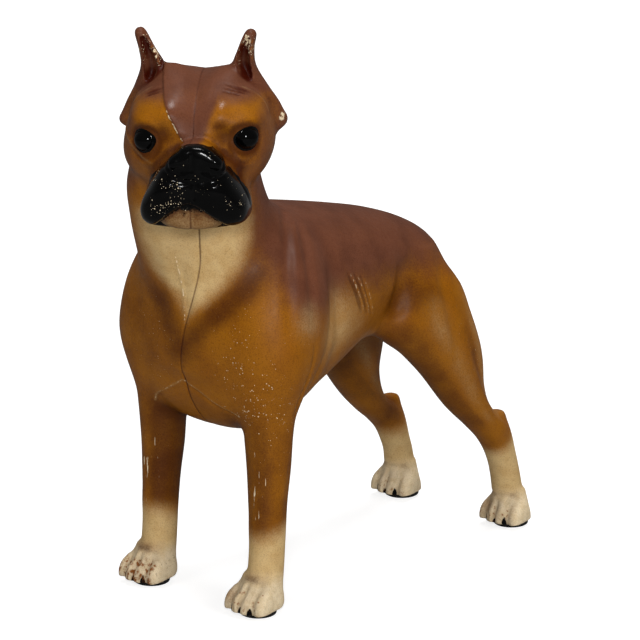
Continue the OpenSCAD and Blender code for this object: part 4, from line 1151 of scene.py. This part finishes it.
def paint_zones(points, clay, muzzle):
    """Amounts of each paint at points, and the places that wear."""
    at = Places(points, clay, muzzle)
    y, z, hx, hy, hz, head = at.some("y z hx hy hz head")
    cream = cream_zone(at)
    cup = head * ease((hz - 6) / 5) * ease((at.across - 11) / 3) * np.clip(at.hollow * 1.5, 0, 1)
    stop = head * ease((6.5 - np.abs(hx - 1)) / 3) * ease((hz + 1.5) / 2) * ease((-hy - 14) / 4)
    brows = bell((hx, -7.9, 2.4), (hz, 12.6, 3.0)) + bell((hx, 9.4, 2.4), (hz, 13.4, 2.8))
    zones = {
        "brown": brown_zone(at), "cream": cream, "cup": cup, "black": black_zone(at),
        "shade": shade_zone(at, cream, cup, stop),
        "eyes": np.clip(0.7 - np.minimum(*(eye_dome(hx, hy, hz, eye) for eye in EYES)), -3, 3),
        # Paler towards the bottom of the paws: worn primer, and partly a painted highlight where light falls on the
        # toes
        "pale": ease((PAD_T + 15 - z) / 8),
        "scratch": bell((at.wide, FORE_X, 5), (z, 44, 17)) * ease((FORE_Y + 4 - y) / 4),
        "joint": np.hypot(at.side, 0.24 * ease((z - 146) / 10) + 0.16 * cream),
        # Depth of the hollows, which the material turns into painted shade and some dirt
        "hollow": at.hollow * (1 - 0.8 * cup) * (1 - 0.8 * stop),
        "gloss": np.clip(head * ease((-hy - 10) / 4) * brows, 0, 1), **wear_zones(at)}
    return {name: zones[name] for name in ZONES}


# ---------------------------------------------------------------- materials


def add(tree, kind, links=(), **settings):
    """Adds a node, sets its settings and sockets, and links its inputs."""
    node = tree.nodes.new(kind)
    for name, value in settings.items():
        setattr(node, name, value)
    for socket, value in dict(links).items():
        if isinstance(value, bpy.types.NodeSocket):
            tree.links.new(value, node.inputs[socket])
        else:
            node.inputs[socket].default_value = value
    return node


def maths(tree, kind, a, b):
    """One sum in a node tree, and the socket with its result."""
    return add(tree, "ShaderNodeMath", {0: a, 1: b}, operation=kind).outputs[0]


def two_tones(tree, value, *stops):
    """A colour that runs between two (position, hex colour) stops."""
    ramp = add(tree, "ShaderNodeValToRGB", {"Fac": value})
    for element, (position, code) in zip(ramp.color_ramp.elements, stops):
        element.position, element.color = position, (*linear(code), 1)
    return ramp.outputs[0]


def new_material(name):
    """An empty material with a Principled shader."""
    material = bpy.data.materials.new(name)
    material.use_nodes = True
    tree = material.node_tree
    tree.nodes.clear()
    shader = add(tree, "ShaderNodeBsdfPrincipled")
    out = add(tree, "ShaderNodeOutputMaterial", {"Surface": shader.outputs[0]})
    out.location = (300, 0)
    return material, tree, shader


def painted_cast_iron(paint):
    """Airbrushed enamel on sand-cast iron under a rubbed satin varnish: soft sprayed borders, fine grit that
    shows through, pale primer at chips, painted shade with grime in folds, paws paled partly as a painted highlight,
    and a soft broad gloss."""
    material, tree, shader = new_material("airbrushed_enamel_on_cast_iron")
    where = add(tree, "ShaderNodeTexCoord").outputs["Object"]
    zone = {n: add(tree, "ShaderNodeAttribute", attribute_name=n).outputs["Fac"] for n in ZONES}

    def noise(size, detail=3.0, rough=0.55):
        """Cloudy noise whose lumps are about size mm across."""
        return add(tree, "ShaderNodeTexNoise", {
            "Vector": where, "Scale": 1 / (size * MM), "Detail": detail, "Roughness": rough}).outputs["Fac"]

    def sums(kind, a, b):
        return maths(tree, kind, a, b)

    def span(value, low, high, to_low=0.0, to_high=1.0):
        """Maps a value between two limits, smoothly and clamped."""
        return add(tree, "ShaderNodeMapRange", {
            "Value": value, "From Min": low, "From Max": high, "To Min": to_low, "To Max": to_high},
            interpolation_type="SMOOTHSTEP").outputs[0]

    def mixed(factor, a, b):
        a, b = (c if isinstance(c, bpy.types.NodeSocket) else (*c, 1) for c in (a, b))
        return add(tree, "ShaderNodeMix", {0: factor, 6: a, 7: b}, data_type="RGBA").outputs[2]

    # Spray: clouds 14 mm wide and droplets 0.6 mm wide break up every soft border
    cloud, droplets, grit = noise(14, 3), noise(0.6, 2, 0.7), noise(1.6, 4, 0.6)
    waver = sums("ADD", *(sums("MULTIPLY", sums("SUBTRACT", lumps, 0.5), 0.5) for lumps in (cloud, droplets)))

    def sprayed(value):
        """A soft zone with a cloudy, speckled border."""
        return span(sums("ADD", value, sums("MULTIPLY", waver, span(value, 0.0, 0.25))), 0.04, 0.96)

    def deeper(colour, red, green, blue):
        return tuple(c * f for c, f in zip(colour, (red, green, blue)))

    colour = mixed(span(cloud, 0.3, 0.7), paint.amber, deeper(paint.amber, 0.82, 0.76, 0.62))
    brown = mixed(span(noise(9), 0.35, 0.7), paint.brown, deeper(paint.brown, 0.8, 0.78, 0.78))
    colour = mixed(sprayed(zone["brown"]), colour, brown)
    colour = mixed(sums("MULTIPLY", sprayed(zone["shade"]), 0.82), colour, paint.shade)
    colour = mixed(sums("MULTIPLY", sprayed(zone["cup"]), 0.92), colour, deeper(paint.shade, 0.9, 0.35, 0.2))
    cream = mixed(span(noise(5), 0.35, 0.75), paint.cream, deeper(paint.cream, 0.88, 0.82, 0.72))
    cream = mixed(sums("MULTIPLY", span(droplets, 0.60, 0.72), 0.45), cream, deeper(paint.amber, 0.6, 0.6, 0.6))
    # Paws paler towards the floor in patches: worn primer and, in part, a painted highlight on the toes
    paw_wear_and_highlight = sums("MULTIPLY", zone["pale"], span(noise(2.4, 4, 0.65), 0.35, 0.6, 0.66, 1.0))
    cream = mixed(paw_wear_and_highlight, cream, paint.chip)
    colour = mixed(sprayed(zone["cream"]), colour, cream)
    # A fine dark grain where the spray was dusted on
    grain = sums("SUBTRACT", 0.34, sums("MULTIPLY", zone["cream"], 0.16))
    colour = mixed(sums("MULTIPLY", span(noise(0.45, 2, 0.7), 0.46, 0.66), grain), colour, paint.shade)
    # Painted shade together with some dirt in the folds, and dirt along the joint
    joint = sums("ABSOLUTE", zone["joint"], 0.0)
    fold_shade_and_dirt = sums("SUBTRACT", 0.62, sums("MULTIPLY", zone["cream"], 0.34))
    fold_shade_and_dirt = sums("MULTIPLY", span(zone["hollow"], 0.2, 0.85), fold_shade_and_dirt)
    colour = mixed(fold_shade_and_dirt, colour, paint.shade)
    colour = mixed(sums("MULTIPLY", span(joint, 0.52, 0.08), span(cloud, 0.3, 0.6, 0.55, 0.92)), colour, paint.shade)
    # Black mask with a ragged brushed border
    ragged = sums("MULTIPLY", sums("SUBTRACT", noise(1.8, 4), 0.5), 1.0)
    mask = span(sums("ADD", zone["black"], ragged), -0.12, 0.22)
    eyes = span(zone["eyes"], -0.05, 0.1)
    colour = mixed(sums("MAXIMUM", mask, eyes), colour, paint.black)
    # Chips down to the primer, fine and in clusters, and rust
    bare = sums("SUBTRACT", 0.98, sums("MULTIPLY", zone["wear"], 0.31))
    speck = sums("ADD", sums("MULTIPLY", noise(0.5, 2, 0.6), 0.72), sums("MULTIPLY", noise(4.5, 2), 0.42))
    chips = span(sums("SUBTRACT", speck, bare), 0.0, 0.03)
    cells = add(tree, "ShaderNodeTexVoronoi", {"Vector": where, "Scale": 1 / (0.62 * MM)})
    chance = add(tree, "ShaderNodeSeparateColor", {0: cells.outputs["Color"]}).outputs[0]
    dot = sums("MULTIPLY", zone["specks"], span(noise(3.2, 2), 0.4, 0.62, 0.12, 0.62))
    dot = sums("MULTIPLY", sums("MULTIPLY", chance, chance), dot)
    chips = sums("MAXIMUM", chips, span(sums("SUBTRACT", dot, cells.outputs["Distance"]), 0.0, 0.07))
    drawn = add(tree, "ShaderNodeMapping", {"Vector": where, "Scale": (1.0, 1.0, 0.1)}, vector_type="POINT").outputs[0]
    lines = add(tree, "ShaderNodeTexNoise", {"Vector": drawn, "Scale": 1 / (0.7 * MM), "Detail": 3.0}).outputs["Fac"]
    lines = sums("ADD", sums("MULTIPLY", lines, 0.8), sums("MULTIPLY", sums("ADD", zone["scratch"], noise(3, 2)), 0.2))
    chips = sums("MAXIMUM", chips, sums("MULTIPLY", span(lines, 0.76, 0.80), span(zone["scratch"], 0.2, 0.6)))
    chips = sums("MULTIPLY", chips, sums("SUBTRACT", 1.0, eyes))
    chips = sums("MAXIMUM", chips, span(sums("MULTIPLY", zone["crack"], span(noise(1.2, 3), 0.3, 0.6)), 0.45, 0.7))
    colour = mixed(sums("MULTIPLY", chips, 0.9), colour, paint.chip)
    rusty = sums("ADD", sums("MULTIPLY", noise(1.6, 4, 0.6), 0.9), sums("MULTIPLY", zone["rust"], 0.42))
    rusty = span(rusty, 0.74, 0.9)
    colour = mixed(sums("MULTIPLY", rusty, span(zone["rust"], 0.1, 0.5)), colour, paint.rust)
    tree.links.new(colour, shader.inputs["Base Color"])

    # Satin varnish, duller on cream and chips, glossy on the black enamel and wet-looking on the eyes
    rough = span(grit, 0.25, 0.8, 0.40, 0.54)
    rough = sums("ADD", rough, sums("MULTIPLY", zone["cream"], 0.16))
    for amount, level in ((sums("MULTIPLY", zone["gloss"], 0.8), 0.16), (mask, 0.13), (eyes, 0.06), (chips, 0.75)):
        rough = add(tree, "ShaderNodeMix", {0: amount, 2: rough, 3: level}).outputs[0]
    tree.links.new(rough, shader.inputs["Roughness"])
    shader.inputs["IOR"].default_value = 1.5
    shader.inputs["Specular IOR Level"].default_value = 0.18
    height = sums("ADD", sums("MULTIPLY", grit, 0.09), sums("MULTIPLY", droplets, 0.05))
    height = sums("SUBTRACT", height, sums("MULTIPLY", chips, 0.06))
    height = sums("MULTIPLY", height, sums("SUBTRACT", 1.0, sums("MAXIMUM", eyes, sums("MULTIPLY", mask, 0.9))))
    bump = add(tree, "ShaderNodeBump", {"Strength": 0.7, "Distance": MM, "Height": height})
    tree.links.new(bump.outputs[0], shader.inputs["Normal"])
    return material


def turned_steel():
    """Zinc-plated steel screw, turned and then dulled by age: fine grey mottling, duller where it is dark."""
    material, tree, shader = new_material("aged_zinc_plated_steel")
    where = add(tree, "ShaderNodeTexCoord").outputs["Object"]
    cloud = add(tree, "ShaderNodeTexNoise", {"Vector": where, "Scale": 1 / (1.2 * MM), "Detail": 4.0}).outputs["Fac"]
    tree.links.new(two_tones(tree, cloud, (0.3, "#4b4640"), (0.7, "#8f8b85")), shader.inputs["Base Color"])
    rough = add(tree, "ShaderNodeMapRange", {"Value": cloud, "To Min": 0.62, "To Max": 0.34}).outputs[0]
    tree.links.new(rough, shader.inputs["Roughness"])
    shader.inputs["Metallic"].default_value = 1.0
    bump = add(tree, "ShaderNodeBump", {"Strength": 0.25, "Distance": 0.2 * MM, "Height": cloud})
    tree.links.new(bump.outputs[0], shader.inputs["Normal"])
    return material


def pad_rubber():
    """Moulded black rubber: a matt skin with a fine grain and a little dust."""
    material, tree, shader = new_material("moulded_black_rubber")
    where = add(tree, "ShaderNodeTexCoord").outputs["Object"]
    grain = add(tree, "ShaderNodeTexNoise", {"Vector": where, "Scale": 1 / (0.5 * MM), "Detail": 3.0}).outputs["Fac"]
    tree.links.new(two_tones(tree, grain, (0.35, "#0c0b0b"), (0.8, "#2a2826")), shader.inputs["Base Color"])
    rough = add(tree, "ShaderNodeMapRange", {"Value": grain, "To Min": 0.7, "To Max": 0.95}).outputs[0]
    tree.links.new(rough, shader.inputs["Roughness"])
    bump = add(tree, "ShaderNodeBump", {"Strength": 0.4, "Distance": 0.1 * MM, "Height": grain})
    tree.links.new(bump.outputs[0], shader.inputs["Normal"])
    return material


# ---------------------------------------------------------------- repeated pieces

# Angles above which an edge is sharp, on the castings and on the screws and pads
CASTING_EDGE, FITTING_EDGE = math.radians(58), math.radians(40)
# Radius of a screw's shank, and how far its head is domed
SHANK_R, DOME = 0.0025, 0.0004


def set_out(name, tree, points, inputs):
    """Runs a node tree on a cloud of points and returns the plain mesh object that it makes."""
    carrier = bpy.data.objects.new(name + "_places", bpy.data.meshes.new(name + "_places"))
    carrier.data.from_pydata([tuple(p) for p in points], [], [])
    bpy.context.scene.collection.objects.link(carrier)
    nodes = carrier.modifiers.new("set_out", "NODES")
    nodes.node_group = tree
    for item in tree.interface.items_tree:
        if item.item_type == "SOCKET" and item.in_out == "INPUT" and item.name in inputs:
            nodes[item.identifier] = inputs[item.name]
    mesh = bpy.data.meshes.new_from_object(carrier.evaluated_get(bpy.context.evaluated_depsgraph_get()))
    carrier.modifiers.remove(nodes)
    old = carrier.data
    bpy.data.objects.remove(carrier)
    bpy.data.meshes.remove(old)
    piece = bpy.data.objects.new(name, mesh)
    bpy.context.scene.collection.objects.link(piece)
    return piece


def piece_tree(name, sockets):
    """An empty geometry tree with a Geometry input and output and further named inputs."""
    tree = bpy.data.node_groups.new(name, "GeometryNodeTree")
    tree.interface.new_socket("Geometry", in_out="INPUT", socket_type="NodeSocketGeometry")
    for label, kind, value in sockets:
        socket = tree.interface.new_socket(label, in_out="INPUT", socket_type=kind)
        if value is not None:
            socket.default_value = value
    tree.interface.new_socket("Geometry", in_out="OUTPUT", socket_type="NodeSocketGeometry")
    return tree, add(tree, "NodeGroupInput")


def coat_and_end(tree, given, instance):
    """Lays an instance on every given point, coats it with the given material and ends the tree."""
    laid = add(tree, "GeometryNodeInstanceOnPoints", {"Points": given.outputs["Geometry"], "Instance": instance})
    real = add(tree, "GeometryNodeRealizeInstances", {0: laid.outputs[0]})
    coated = add(tree, "GeometryNodeSetMaterial", {"Geometry": real.outputs[0], "Material": given.outputs["Material"]})
    add(tree, "NodeGroupOutput", {0: coated.outputs[0]})
    return tree


def pad_tree():
    """A round pad with a drawn-in rim on each point."""
    tree, given = piece_tree("pads_on_points", [
        ("Diameter", "NodeSocketFloat", PAD_D * MM), ("Thickness", "NodeSocketFloat", PAD_T * MM),
        ("Rounding", "NodeSocketFloat", 0.09), ("Material", "NodeSocketMaterial", None)])
    thickness = given.outputs["Thickness"]
    disc = add(tree, "GeometryNodeMeshCylinder", {
        "Vertices": 48, "Side Segments": 10, "Fill Segments": 4, "Depth": thickness,
        "Radius": maths(tree, "MULTIPLY", given.outputs["Diameter"], 0.5)})
    place = add(tree, "GeometryNodeInputPosition")
    parts = add(tree, "ShaderNodeSeparateXYZ", {0: place.outputs[0]})
    share = parts.outputs["Z"]
    for kind, value in (("DIVIDE", thickness), ("MULTIPLY", 2.0), ("ABSOLUTE", 0.0), ("POWER", 4.0),
                        ("MULTIPLY", given.outputs["Rounding"])):
        share = maths(tree, kind, share, value)
    share = maths(tree, "SUBTRACT", 1.0, share)
    factor = add(tree, "ShaderNodeCombineXYZ", {"X": share, "Y": share, "Z": 1.0})
    drawn = add(tree, "ShaderNodeVectorMath", {0: place.outputs[0], 1: factor.outputs[0]}, operation="MULTIPLY")
    pad = add(tree, "GeometryNodeSetPosition", {"Geometry": disc.outputs["Mesh"], "Position": drawn.outputs[0]})
    return coat_and_end(tree, given, pad.outputs[0])


def screw_tree():
    """The given screw on each point, its head to -X."""
    tree, given = piece_tree("screws_on_points", [
        ("Screw", "NodeSocketObject", None), ("Material", "NodeSocketMaterial", None)])
    screw = add(tree, "GeometryNodeObjectInfo", {"Object": given.outputs["Screw"]})
    return coat_and_end(tree, given, screw.outputs["Geometry"])


def one_screw(head_r, shank_r, length, fixings):
    """A countersunk screw with a softly domed head at the origin and its shank along +X."""
    sink = head_r - shank_r
    profile = [(0.0, -DOME), (head_r * 0.55, -0.0003), (head_r * 0.9, -0.00005), (head_r - 0.0001, 0.00025),
               (shank_r + 0.0003, sink + 0.0001), (shank_r, sink + 0.0008), (shank_r, length - 0.0012),
               (shank_r * 0.6, length), (0.0, length)]
    sides = 48
    bm = bmesh.new()
    rows = []
    for r, along in profile:
        turns = [2 * math.pi * k / sides for k in range(sides if r else 1)]
        rows.append([bm.verts.new((along + DOME, r * math.cos(t), r * math.sin(t))) for t in turns])
    for a, b in zip(rows[:-1], rows[1:]):
        for k in range(sides):
            ring = [a[k % len(a)], a[(k + 1) % len(a)], b[(k + 1) % len(b)], b[k % len(b)]]
            ring = [v for i, v in enumerate(ring) if v not in ring[:i]]
            bm.faces.new(ring)
    bmesh.ops.recalc_face_normals(bm, faces=bm.faces)
    mesh = bpy.data.meshes.new("screw")
    bm.to_mesh(mesh)
    bm.free()
    screw = bpy.data.objects.new("screw_pattern", mesh)
    bm = bmesh.new()
    bmesh.ops.create_cube(bm, size=1.0)
    bmesh.ops.scale(bm, vec=(2 * fixings.slot_depth, 4 * head_r, fixings.slot_width), verts=bm.verts)
    cutter_mesh = bpy.data.meshes.new("slot")
    bm.to_mesh(cutter_mesh)
    bm.free()
    cutter = bpy.data.objects.new("slot_cutter", cutter_mesh)
    for thing in (screw, cutter):
        bpy.context.scene.collection.objects.link(thing)
    slot = screw.modifiers.new("slot", "BOOLEAN")
    slot.operation, slot.object, slot.solver = "DIFFERENCE", cutter, "EXACT"
    soften = screw.modifiers.new("soften", "BEVEL")
    soften.width, soften.segments, soften.limit_method, soften.angle_limit = 0.00012, 2, "ANGLE", FITTING_EDGE
    made = bpy.data.meshes.new_from_object(screw.evaluated_get(bpy.context.evaluated_depsgraph_get()))
    bpy.data.objects.remove(cutter)
    bpy.data.meshes.remove(cutter_mesh)
    screw.modifiers.clear()
    screw.data = made
    bpy.data.meshes.remove(mesh)
    return screw


# ---------------------------------------------------------------- stage

# Two lamps give the gloss, a small key near the camera and one high in front; four soft ones only light the coat.
# Each has a turn from the camera and a rise in degrees, a distance and a size in metres, watts, and whether gloss
# shows it
LAMPS = (
    ("key", 0, 21, 1.5, 0.2, 8.0, True), ("top", 9, 85, 1.2, 0.46, 7.5, True), ("front", 2, 14, 1.6, 1.0, 2.0, False),
    ("left", -48, 30, 1.5, 0.6, 4.2, False), ("right", 40, 26, 1.5, 0.6, 7.8, False),
    ("rim", 150, 48, 1.3, 0.6, 5.0, False))
LAMP_AIM = Vector((0, 0, 0.11))


def aim_from(thing, turn, rise, aim, distance):
    """Puts a lamp or camera at a turn and a rise from what it looks at."""
    back = Vector((math.sin(turn) * math.cos(rise), -math.cos(turn) * math.cos(rise), math.sin(rise)))
    thing.location = aim + back * distance
    thing.rotation_euler = back.to_track_quat("Z", "Y").to_euler()
    bpy.context.scene.collection.objects.link(thing)


def seen_white(tree):
    """The light path's node, and how white a ray sees the surroundings: fully by eye, faintly in gloss."""
    rays = add(tree, "ShaderNodeLightPath")
    glossy = maths(tree, "MULTIPLY", rays.outputs["Is Glossy Ray"], 0.08)
    seen = maths(tree, "MAXIMUM", rays.outputs["Is Camera Ray"], glossy)
    return rays, maths(tree, "MAXIMUM", seen, rays.outputs["Is Transmission Ray"])


def white_paper():
    """Matt white paper, paler towards the far edge, so that the floor runs into the white beyond it."""
    material, tree, shader = new_material("matt_white_paper")
    shader.inputs["Roughness"].default_value = 0.9
    shader.inputs["Specular IOR Level"].default_value = 0.1
    rays, seen = seen_white(tree)
    where = add(tree, "ShaderNodeTexCoord").outputs["Object"]
    far = add(tree, "ShaderNodeVectorMath", {0: where}, operation="LENGTH")
    level = add(tree, "ShaderNodeMapRange", {
        "Value": far.outputs["Value"], "From Min": 0.25, "From Max": 0.9, "To Min": 0.78, "To Max": 1.0})
    grey = add(tree, "ShaderNodeMapRange", {"Value": rays.outputs["Is Glossy Ray"], "To Min": 0.45, "To Max": 0.14})
    tree.links.new(grey.outputs[0], shader.inputs["Base Color"])
    shader.inputs["Emission Color"].default_value = (1, 1, 1, 1)
    tree.links.new(maths(tree, "MULTIPLY", seen, level.outputs[0]), shader.inputs["Emission Strength"])
    return material


# ---------------------------------------------------------------- operators


class DOORSTOP_OT_castings(bpy.types.Operator):
    """Models the dog, cuts it along the joint and paints both half castings."""

    bl_idname = "doorstop.castings"
    bl_label = "Half castings"

    def execute(self, context):
        shape, paint = context.scene.dog_shape, context.scene.dog_paint
        clay, muzzle = model_figure(shape.cell, shape.crease)
        points, faces = mesh_clay(clay, shape.triangles)
        coat = painted_cast_iron(paint)
        gap = shape.joint / MM / 2
        for name, sign in (("left_half", 1), ("right_half", -1)):
            half, tris = cut_half(points, faces, joint_side(points.T) * sign - gap)
            mesh = bpy.data.meshes.new(name)
            fill_mesh(mesh, half * MM, tris)
            close_half(mesh, sign > 0)
            co = np.empty(len(mesh.vertices) * 3, np.float32)
            mesh.vertices.foreach_get("co", co)
            for zone, values in paint_zones(co.reshape(-1, 3) / MM, clay, muzzle).items():
                amounts = mesh.attributes.new(zone, "FLOAT", "POINT").data
                amounts.foreach_set("value", np.ascontiguousarray(values, np.float32))
            mesh.polygons.foreach_set("use_smooth", np.ones(len(mesh.polygons), bool))
            mesh.set_sharp_from_angle(angle=CASTING_EDGE)
            mesh.materials.append(coat)
            piece = bpy.data.objects.new(name + "_casting", mesh)
            context.scene.collection.objects.link(piece)
            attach(piece, "root")
            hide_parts(name)
        return {"FINISHED"}


class DOORSTOP_OT_screws(bpy.types.Operator):
    """Sets the two slotted screws in the right flank."""

    bl_idname = "doorstop.screws"
    bl_label = "Screws"

    def execute(self, context):
        fixings = context.scene.dog_fixings
        steel = turned_steel()
        for node in ("front_screw", "rear_screw"):
            low, high = (Vector(c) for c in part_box(node))
            head_r = (high.y - low.y) / 2
            pattern = one_screw(head_r, SHANK_R, high.x - low.x - DOME, fixings)
            place = Vector((low.x, (low.y + high.y) / 2, (low.z + high.z) / 2))
            piece = set_out(node + "_slotted", screw_tree(), [place], {"Screw": pattern, "Material": steel})
            old = pattern.data
            bpy.data.objects.remove(pattern)
            bpy.data.meshes.remove(old)
            piece.data.set_sharp_from_angle(angle=FITTING_EDGE)
            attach(piece, "root")
            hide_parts(node)
        return {"FINISHED"}


class DOORSTOP_OT_pads(bpy.types.Operator):
    """Sticks a rubber pad under each paw."""

    bl_idname = "doorstop.pads"
    bl_label = "Pads"

    def execute(self, context):
        nodes = ("pad_front_left", "pad_front_right", "pad_hind_left", "pad_hind_right")
        boxes = [[Vector(c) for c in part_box(n)] for n in nodes]
        low, high = boxes[0]
        piece = set_out("paw_pads", pad_tree(), [(a + b) / 2 for a, b in boxes], {
            "Diameter": high.x - low.x, "Thickness": high.z - low.z, "Rounding": context.scene.dog_fixings.pad_round,
            "Material": pad_rubber()})
        piece.data.polygons.foreach_set("use_smooth", np.ones(len(piece.data.polygons), bool))
        piece.data.set_sharp_from_angle(angle=FITTING_EDGE)
        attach(piece, "root")
        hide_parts(*nodes)
        return {"FINISHED"}


class DOORSTOP_OT_stage(bpy.types.Operator):
    """Sets the pale floor, the soft lights and the camera."""

    bl_idname = "doorstop.stage"
    bl_label = "Stage"

    def execute(self, context):
        scene, stage = context.scene, context.scene.dog_stage
        scene.view_settings.view_transform = "Standard"
        # Floor: seen as white where it is lit, with the dog's shadow on it
        bm = bmesh.new()
        bmesh.ops.create_grid(bm, x_segments=24, y_segments=24, size=3.0)
        mesh = bpy.data.meshes.new("floor")
        bm.to_mesh(mesh)
        bm.free()
        floor = bpy.data.objects.new("floor", mesh)
        scene.collection.objects.link(floor)
        mesh.materials.append(white_paper())
        # World: white to the camera, faint in gloss, and plain soft light otherwise
        world = bpy.data.worlds.new("studio")
        world.use_nodes = True
        scene.world = world
        tree = world.node_tree
        sky = tree.nodes["Background"]
        level = add(tree, "ShaderNodeMapRange", {"Value": seen_white(tree)[1], "To Min": 0.07, "To Max": 1.0})
        sky.inputs["Color"].default_value = (1, 1, 1, 1)
        tree.links.new(level.outputs[0], sky.inputs["Strength"])
        for name, turn, rise, distance, size, power, glossy in LAMPS:
            lamp = bpy.data.lights.new(name, "AREA")
            lamp.shape, lamp.size, lamp.energy = "DISK", size, power
            thing = bpy.data.objects.new(name, lamp)
            thing.visible_glossy = glossy
            aim_from(thing, stage.turn + math.radians(turn), math.radians(rise), LAMP_AIM, distance)
        camera = bpy.data.cameras.new("camera")
        camera.sensor_width = 36
        camera.lens = 36 * stage.distance / stage.across
        camera.clip_start, camera.clip_end = 0.05, 20
        scene.camera = bpy.data.objects.new("camera", camera)
        aim_from(scene.camera, stage.turn, stage.rise, Vector(stage.aim), stage.distance)
        return {"FINISHED"}


class DOORSTOP_PT_panel(bpy.types.Panel):
    """Lists the steps that build the doorstop, with their settings."""

    bl_label = "Dog Doorstop"
    bl_idname = "DOORSTOP_PT_panel"
    bl_space_type = "VIEW_3D"
    bl_region_type = "UI"
    bl_category = "Doorstop"

    def draw(self, context):
        scene = context.scene
        for step in STEPS:
            self.layout.operator(step.bl_idname)
        for group in (scene.dog_shape, scene.dog_paint, scene.dog_fixings, scene.dog_stage):
            box = self.layout.box()
            for name in group.__annotations__:
                box.prop(group, name)


STEPS = (DOORSTOP_OT_stage, DOORSTOP_OT_castings, DOORSTOP_OT_screws, DOORSTOP_OT_pads)
GROUPS = {"dog_shape": DogShape, "dog_paint": DogPaint, "dog_fixings": DogFixings, "dog_stage": DogStage}


def register():
    for kind in (*GROUPS.values(), *STEPS, DOORSTOP_PT_panel):
        bpy.utils.register_class(kind)
    for name, kind in GROUPS.items():
        setattr(bpy.types.Scene, name, bpy.props.PointerProperty(type=kind))


def unregister():
    for name in GROUPS:
        delattr(bpy.types.Scene, name)
    for kind in (DOORSTOP_PT_panel, *reversed(STEPS), *reversed(list(GROUPS.values()))):
        bpy.utils.unregister_class(kind)


def main():
    register()
    bpy.ops.doorstop.stage()
    bpy.ops.doorstop.castings()
    bpy.ops.doorstop.screws()
    bpy.ops.doorstop.pads()


if __name__ == "__main__":
    main()
